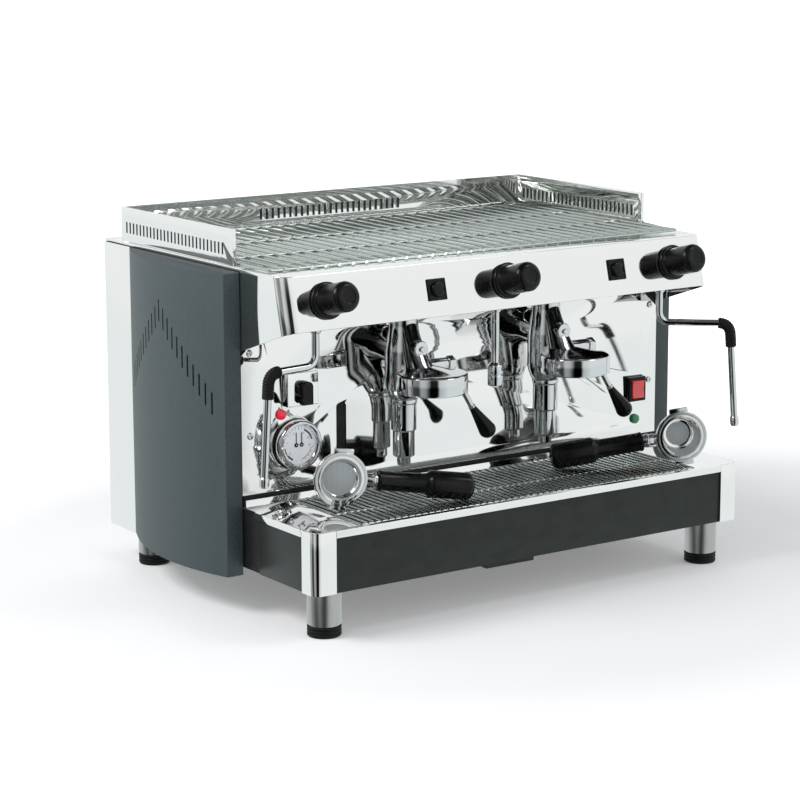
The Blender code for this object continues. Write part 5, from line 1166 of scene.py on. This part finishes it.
def room_tones(tree, place):
    """Tone of the room round the compass: grey left, black front left, white right and behind."""
    split = node(tree, "ShaderNodeSeparateXYZ", [("Vector", place)])
    angle = node(tree, "ShaderNodeMath", [(0, split.outputs["Y"]), (1, split.outputs["X"])],
                 operation="ARCTAN2")
    turn = node(tree, "ShaderNodeMapRange", [("Value", angle.outputs["Value"])], From_Min=-math.pi,
                From_Max=math.pi)
    ramp = node(tree, "ShaderNodeValToRGB", [("Fac", turn.outputs["Result"])],
                [(position, (level * 0.98, level, level, 1)) for position, level in ROOM_TONES])
    return ramp.outputs["Color"]


def make_floor():
    """Studio floor: white for the camera, with the machine's shadow deepened by painted shade round it, and
    clear to metal and glass.
    """
    deselect()
    bpy.ops.mesh.primitive_plane_add(size=40, location=(0, 0, 0))
    floor = named("studio_floor")
    material = bpy.data.materials.new("studio_sweep")
    material.use_nodes = True
    tree = material.node_tree
    tree.nodes.clear()
    output = node(tree, "ShaderNodeOutputMaterial")
    paper = node(tree, "ShaderNodeBsdfDiffuse", Color=(0.9, 0.9, 0.91, 1))
    path = node(tree, "ShaderNodeLightPath")
    place = node(tree, "ShaderNodeTexCoord")
    reach = node(tree, "ShaderNodeVectorMath", [(0, place.outputs["Object"])], operation="LENGTH")
    # The camera's glow is weak near the machine and strong far off: painted shade round the machine that
    # deepens its shadow
    outward = node(tree, "ShaderNodeMapRange", [("Value", reach.outputs["Value"])], From_Min=0.6,
                   From_Max=1.7, To_Min=0.2, To_Max=0.9)
    share = node(tree, "ShaderNodeMapRange", [("Value", path.outputs["Is Diffuse Ray"])], To_Min=0.5,
                 To_Max=0.0)
    strength = node(tree, "ShaderNodeMix", [("Factor", path.outputs["Is Camera Ray"]),
                                            ("A", share.outputs["Result"]), ("B", outward.outputs["Result"])])
    glow = node(tree, "ShaderNodeEmission", [("Strength", strength.outputs["Result"])], Color=(1, 1, 1, 1))
    lit = node(tree, "ShaderNodeAddShader", [(0, paper.outputs["BSDF"]), (1, glow.outputs["Emission"])])
    seen = node(tree, "ShaderNodeMath", [(0, path.outputs["Is Glossy Ray"]),
                                         (1, path.outputs["Is Transmission Ray"])],
                operation="MAXIMUM")
    clear = node(tree, "ShaderNodeBsdfTransparent", Color=(1, 1, 1, 1))
    final = node(tree, "ShaderNodeMixShader", [("Fac", seen.outputs["Value"]), (1, lit.outputs["Shader"]),
                                               (2, clear.outputs["BSDF"])])
    tree.links.new(final.outputs["Shader"], output.inputs["Surface"])
    floor.data.materials.append(material)


def make_world():
    """White room for the camera; metal sees its tones, deeper below and paler above, and grey overhead."""
    world = bpy.data.worlds.new("studio")
    bpy.context.scene.world = world
    world.use_nodes = True
    tree = world.node_tree
    tree.nodes.clear()
    output = node(tree, "ShaderNodeOutputWorld")
    place = node(tree, "ShaderNodeTexCoord")
    split = node(tree, "ShaderNodeSeparateXYZ", [("Vector", place.outputs["Generated"])])
    ramp = node(tree, "ShaderNodeValToRGB", [("Fac", split.outputs["Z"])],
                [(0.5, (0.98, 0.99, 1, 1)), (0.85, (0.12, 0.125, 0.13, 1))])
    lower = node(tree, "ShaderNodeMapRange", [("Value", split.outputs["Z"])], From_Min=-0.1, From_Max=0.0,
                 To_Min=2.2, To_Max=1.0)
    upper = node(tree, "ShaderNodeMapRange", [("Value", split.outputs["Z"])], From_Min=0.3, From_Max=0.5,
                 To_Min=1.0, To_Max=0.35)
    power = node(tree, "ShaderNodeMath", [(0, lower.outputs["Result"]), (1, upper.outputs["Result"])],
                 operation="MULTIPLY")
    darker = node(tree, "ShaderNodeGamma", [("Color", room_tones(tree, place.outputs["Generated"])),
                                            ("Gamma", power.outputs["Value"])])
    toned_room = node(tree, "ShaderNodeMix", [(6, ramp.outputs["Color"]), (7, darker.outputs["Color"])],
                      data_type="RGBA", blend_type="MULTIPLY", Factor=1.0)
    path = node(tree, "ShaderNodeLightPath")
    either = node(tree, "ShaderNodeMix", [("Factor", path.outputs["Is Glossy Ray"]),
                                          (6, ramp.outputs["Color"]), (7, toned_room.outputs[2])],
                  data_type="RGBA")
    room = node(tree, "ShaderNodeBackground", [("Color", either.outputs[2])], Strength=0.97)
    white = node(tree, "ShaderNodeBackground", Color=(1, 1, 1, 1), Strength=1.0)
    mix = node(tree, "ShaderNodeMixShader", [("Fac", path.outputs["Is Camera Ray"]),
                                             (1, room.outputs["Background"]),
                                             (2, white.outputs["Background"])])
    tree.links.new(mix.outputs["Shader"], output.inputs["Surface"])


def make_lamp_panel(name, place, target, wide, high, power):
    """Soft box that faces its target."""
    deselect()
    bpy.ops.object.light_add(type="AREA", location=place)
    lamp = bpy.context.active_object
    lamp.name = name
    lamp.data.shape = "RECTANGLE"
    lamp.data.size = wide
    lamp.data.size_y = high
    lamp.data.energy = power
    lamp.rotation_euler = (Vector(target) - Vector(place)).to_track_quat("-Z", "Y").to_euler()


def make_camera():
    """Camera from the front left and above, with a long lens."""
    azimuth, down, roll = math.radians(34.714), math.radians(11.396), math.radians(-0.151)
    deselect()
    bpy.ops.object.camera_add()
    camera = bpy.context.active_object
    camera.name = "camera"
    camera.data.lens = 115.06
    camera.data.sensor_width = 36
    turn = Matrix.Rotation(-azimuth, 4, "Z") @ Matrix.Rotation(math.pi / 2 - down, 4, "X")
    turn = turn @ Matrix.Rotation(roll, 4, "Z")
    camera.matrix_world = Matrix.Translation((-2.0018, -2.83957, 0.9278)) @ turn
    bpy.context.scene.camera = camera


class ESPRESSO_OT_stage(Step, bpy.types.Operator):
    """Make the white studio: floor, room, lamps and camera"""
    bl_idname = "espresso.stage"
    bl_label = "Studio"

    def build(self):
        scene = bpy.context.scene
        scene.view_settings.view_transform = "Standard"
        make_floor()
        make_world()
        middle = (0, 0, 0.25)
        make_lamp_panel("key_panel", (-2.2, 0.3, 2.2), middle, 1.4, 1.0, 42)
        make_lamp_panel("fill_panel", (1.5, -1.7, 2.8), middle, 0.9, 0.9, 12)
        make_camera()


OPERATORS = (ESPRESSO_OT_base, ESPRESSO_OT_body, ESPRESSO_OT_grids, ESPRESSO_OT_groups, ESPRESSO_OT_taps,
             ESPRESSO_OT_controls, ESPRESSO_OT_portafilters, ESPRESSO_OT_inside, ESPRESSO_OT_stage)


class ESPRESSO_PT_panel(bpy.types.Panel):
    """Sizes, colours and building steps of the espresso machine"""
    bl_idname = "ESPRESSO_PT_panel"
    bl_label = "Espresso machine"
    bl_space_type = "VIEW_3D"
    bl_region_type = "UI"
    bl_category = "Espresso"

    def draw(self, context):
        scene = context.scene
        for title, group in (("Sizes", scene.espresso_sizes), ("Colours", scene.espresso_colours)):
            box = self.layout.box()
            box.label(text=title)
            for name in group.__annotations__:
                box.prop(group, name)
        for operator in OPERATORS:
            self.layout.operator(operator.bl_idname)


CLASSES = (EspressoSizes, EspressoColours, *OPERATORS, ESPRESSO_PT_panel)


def register():
    for each in CLASSES:
        bpy.utils.register_class(each)
    bpy.types.Scene.espresso_sizes = bpy.props.PointerProperty(type=EspressoSizes)
    bpy.types.Scene.espresso_colours = bpy.props.PointerProperty(type=EspressoColours)


def unregister():
    del bpy.types.Scene.espresso_colours
    del bpy.types.Scene.espresso_sizes
    for each in reversed(CLASSES):
        bpy.utils.unregister_class(each)


def main():
    register()
    for operator in OPERATORS:
        group, name = operator.bl_idname.split(".")
        getattr(getattr(bpy.ops, group), name)()


if __name__ == "__main__":
    main()
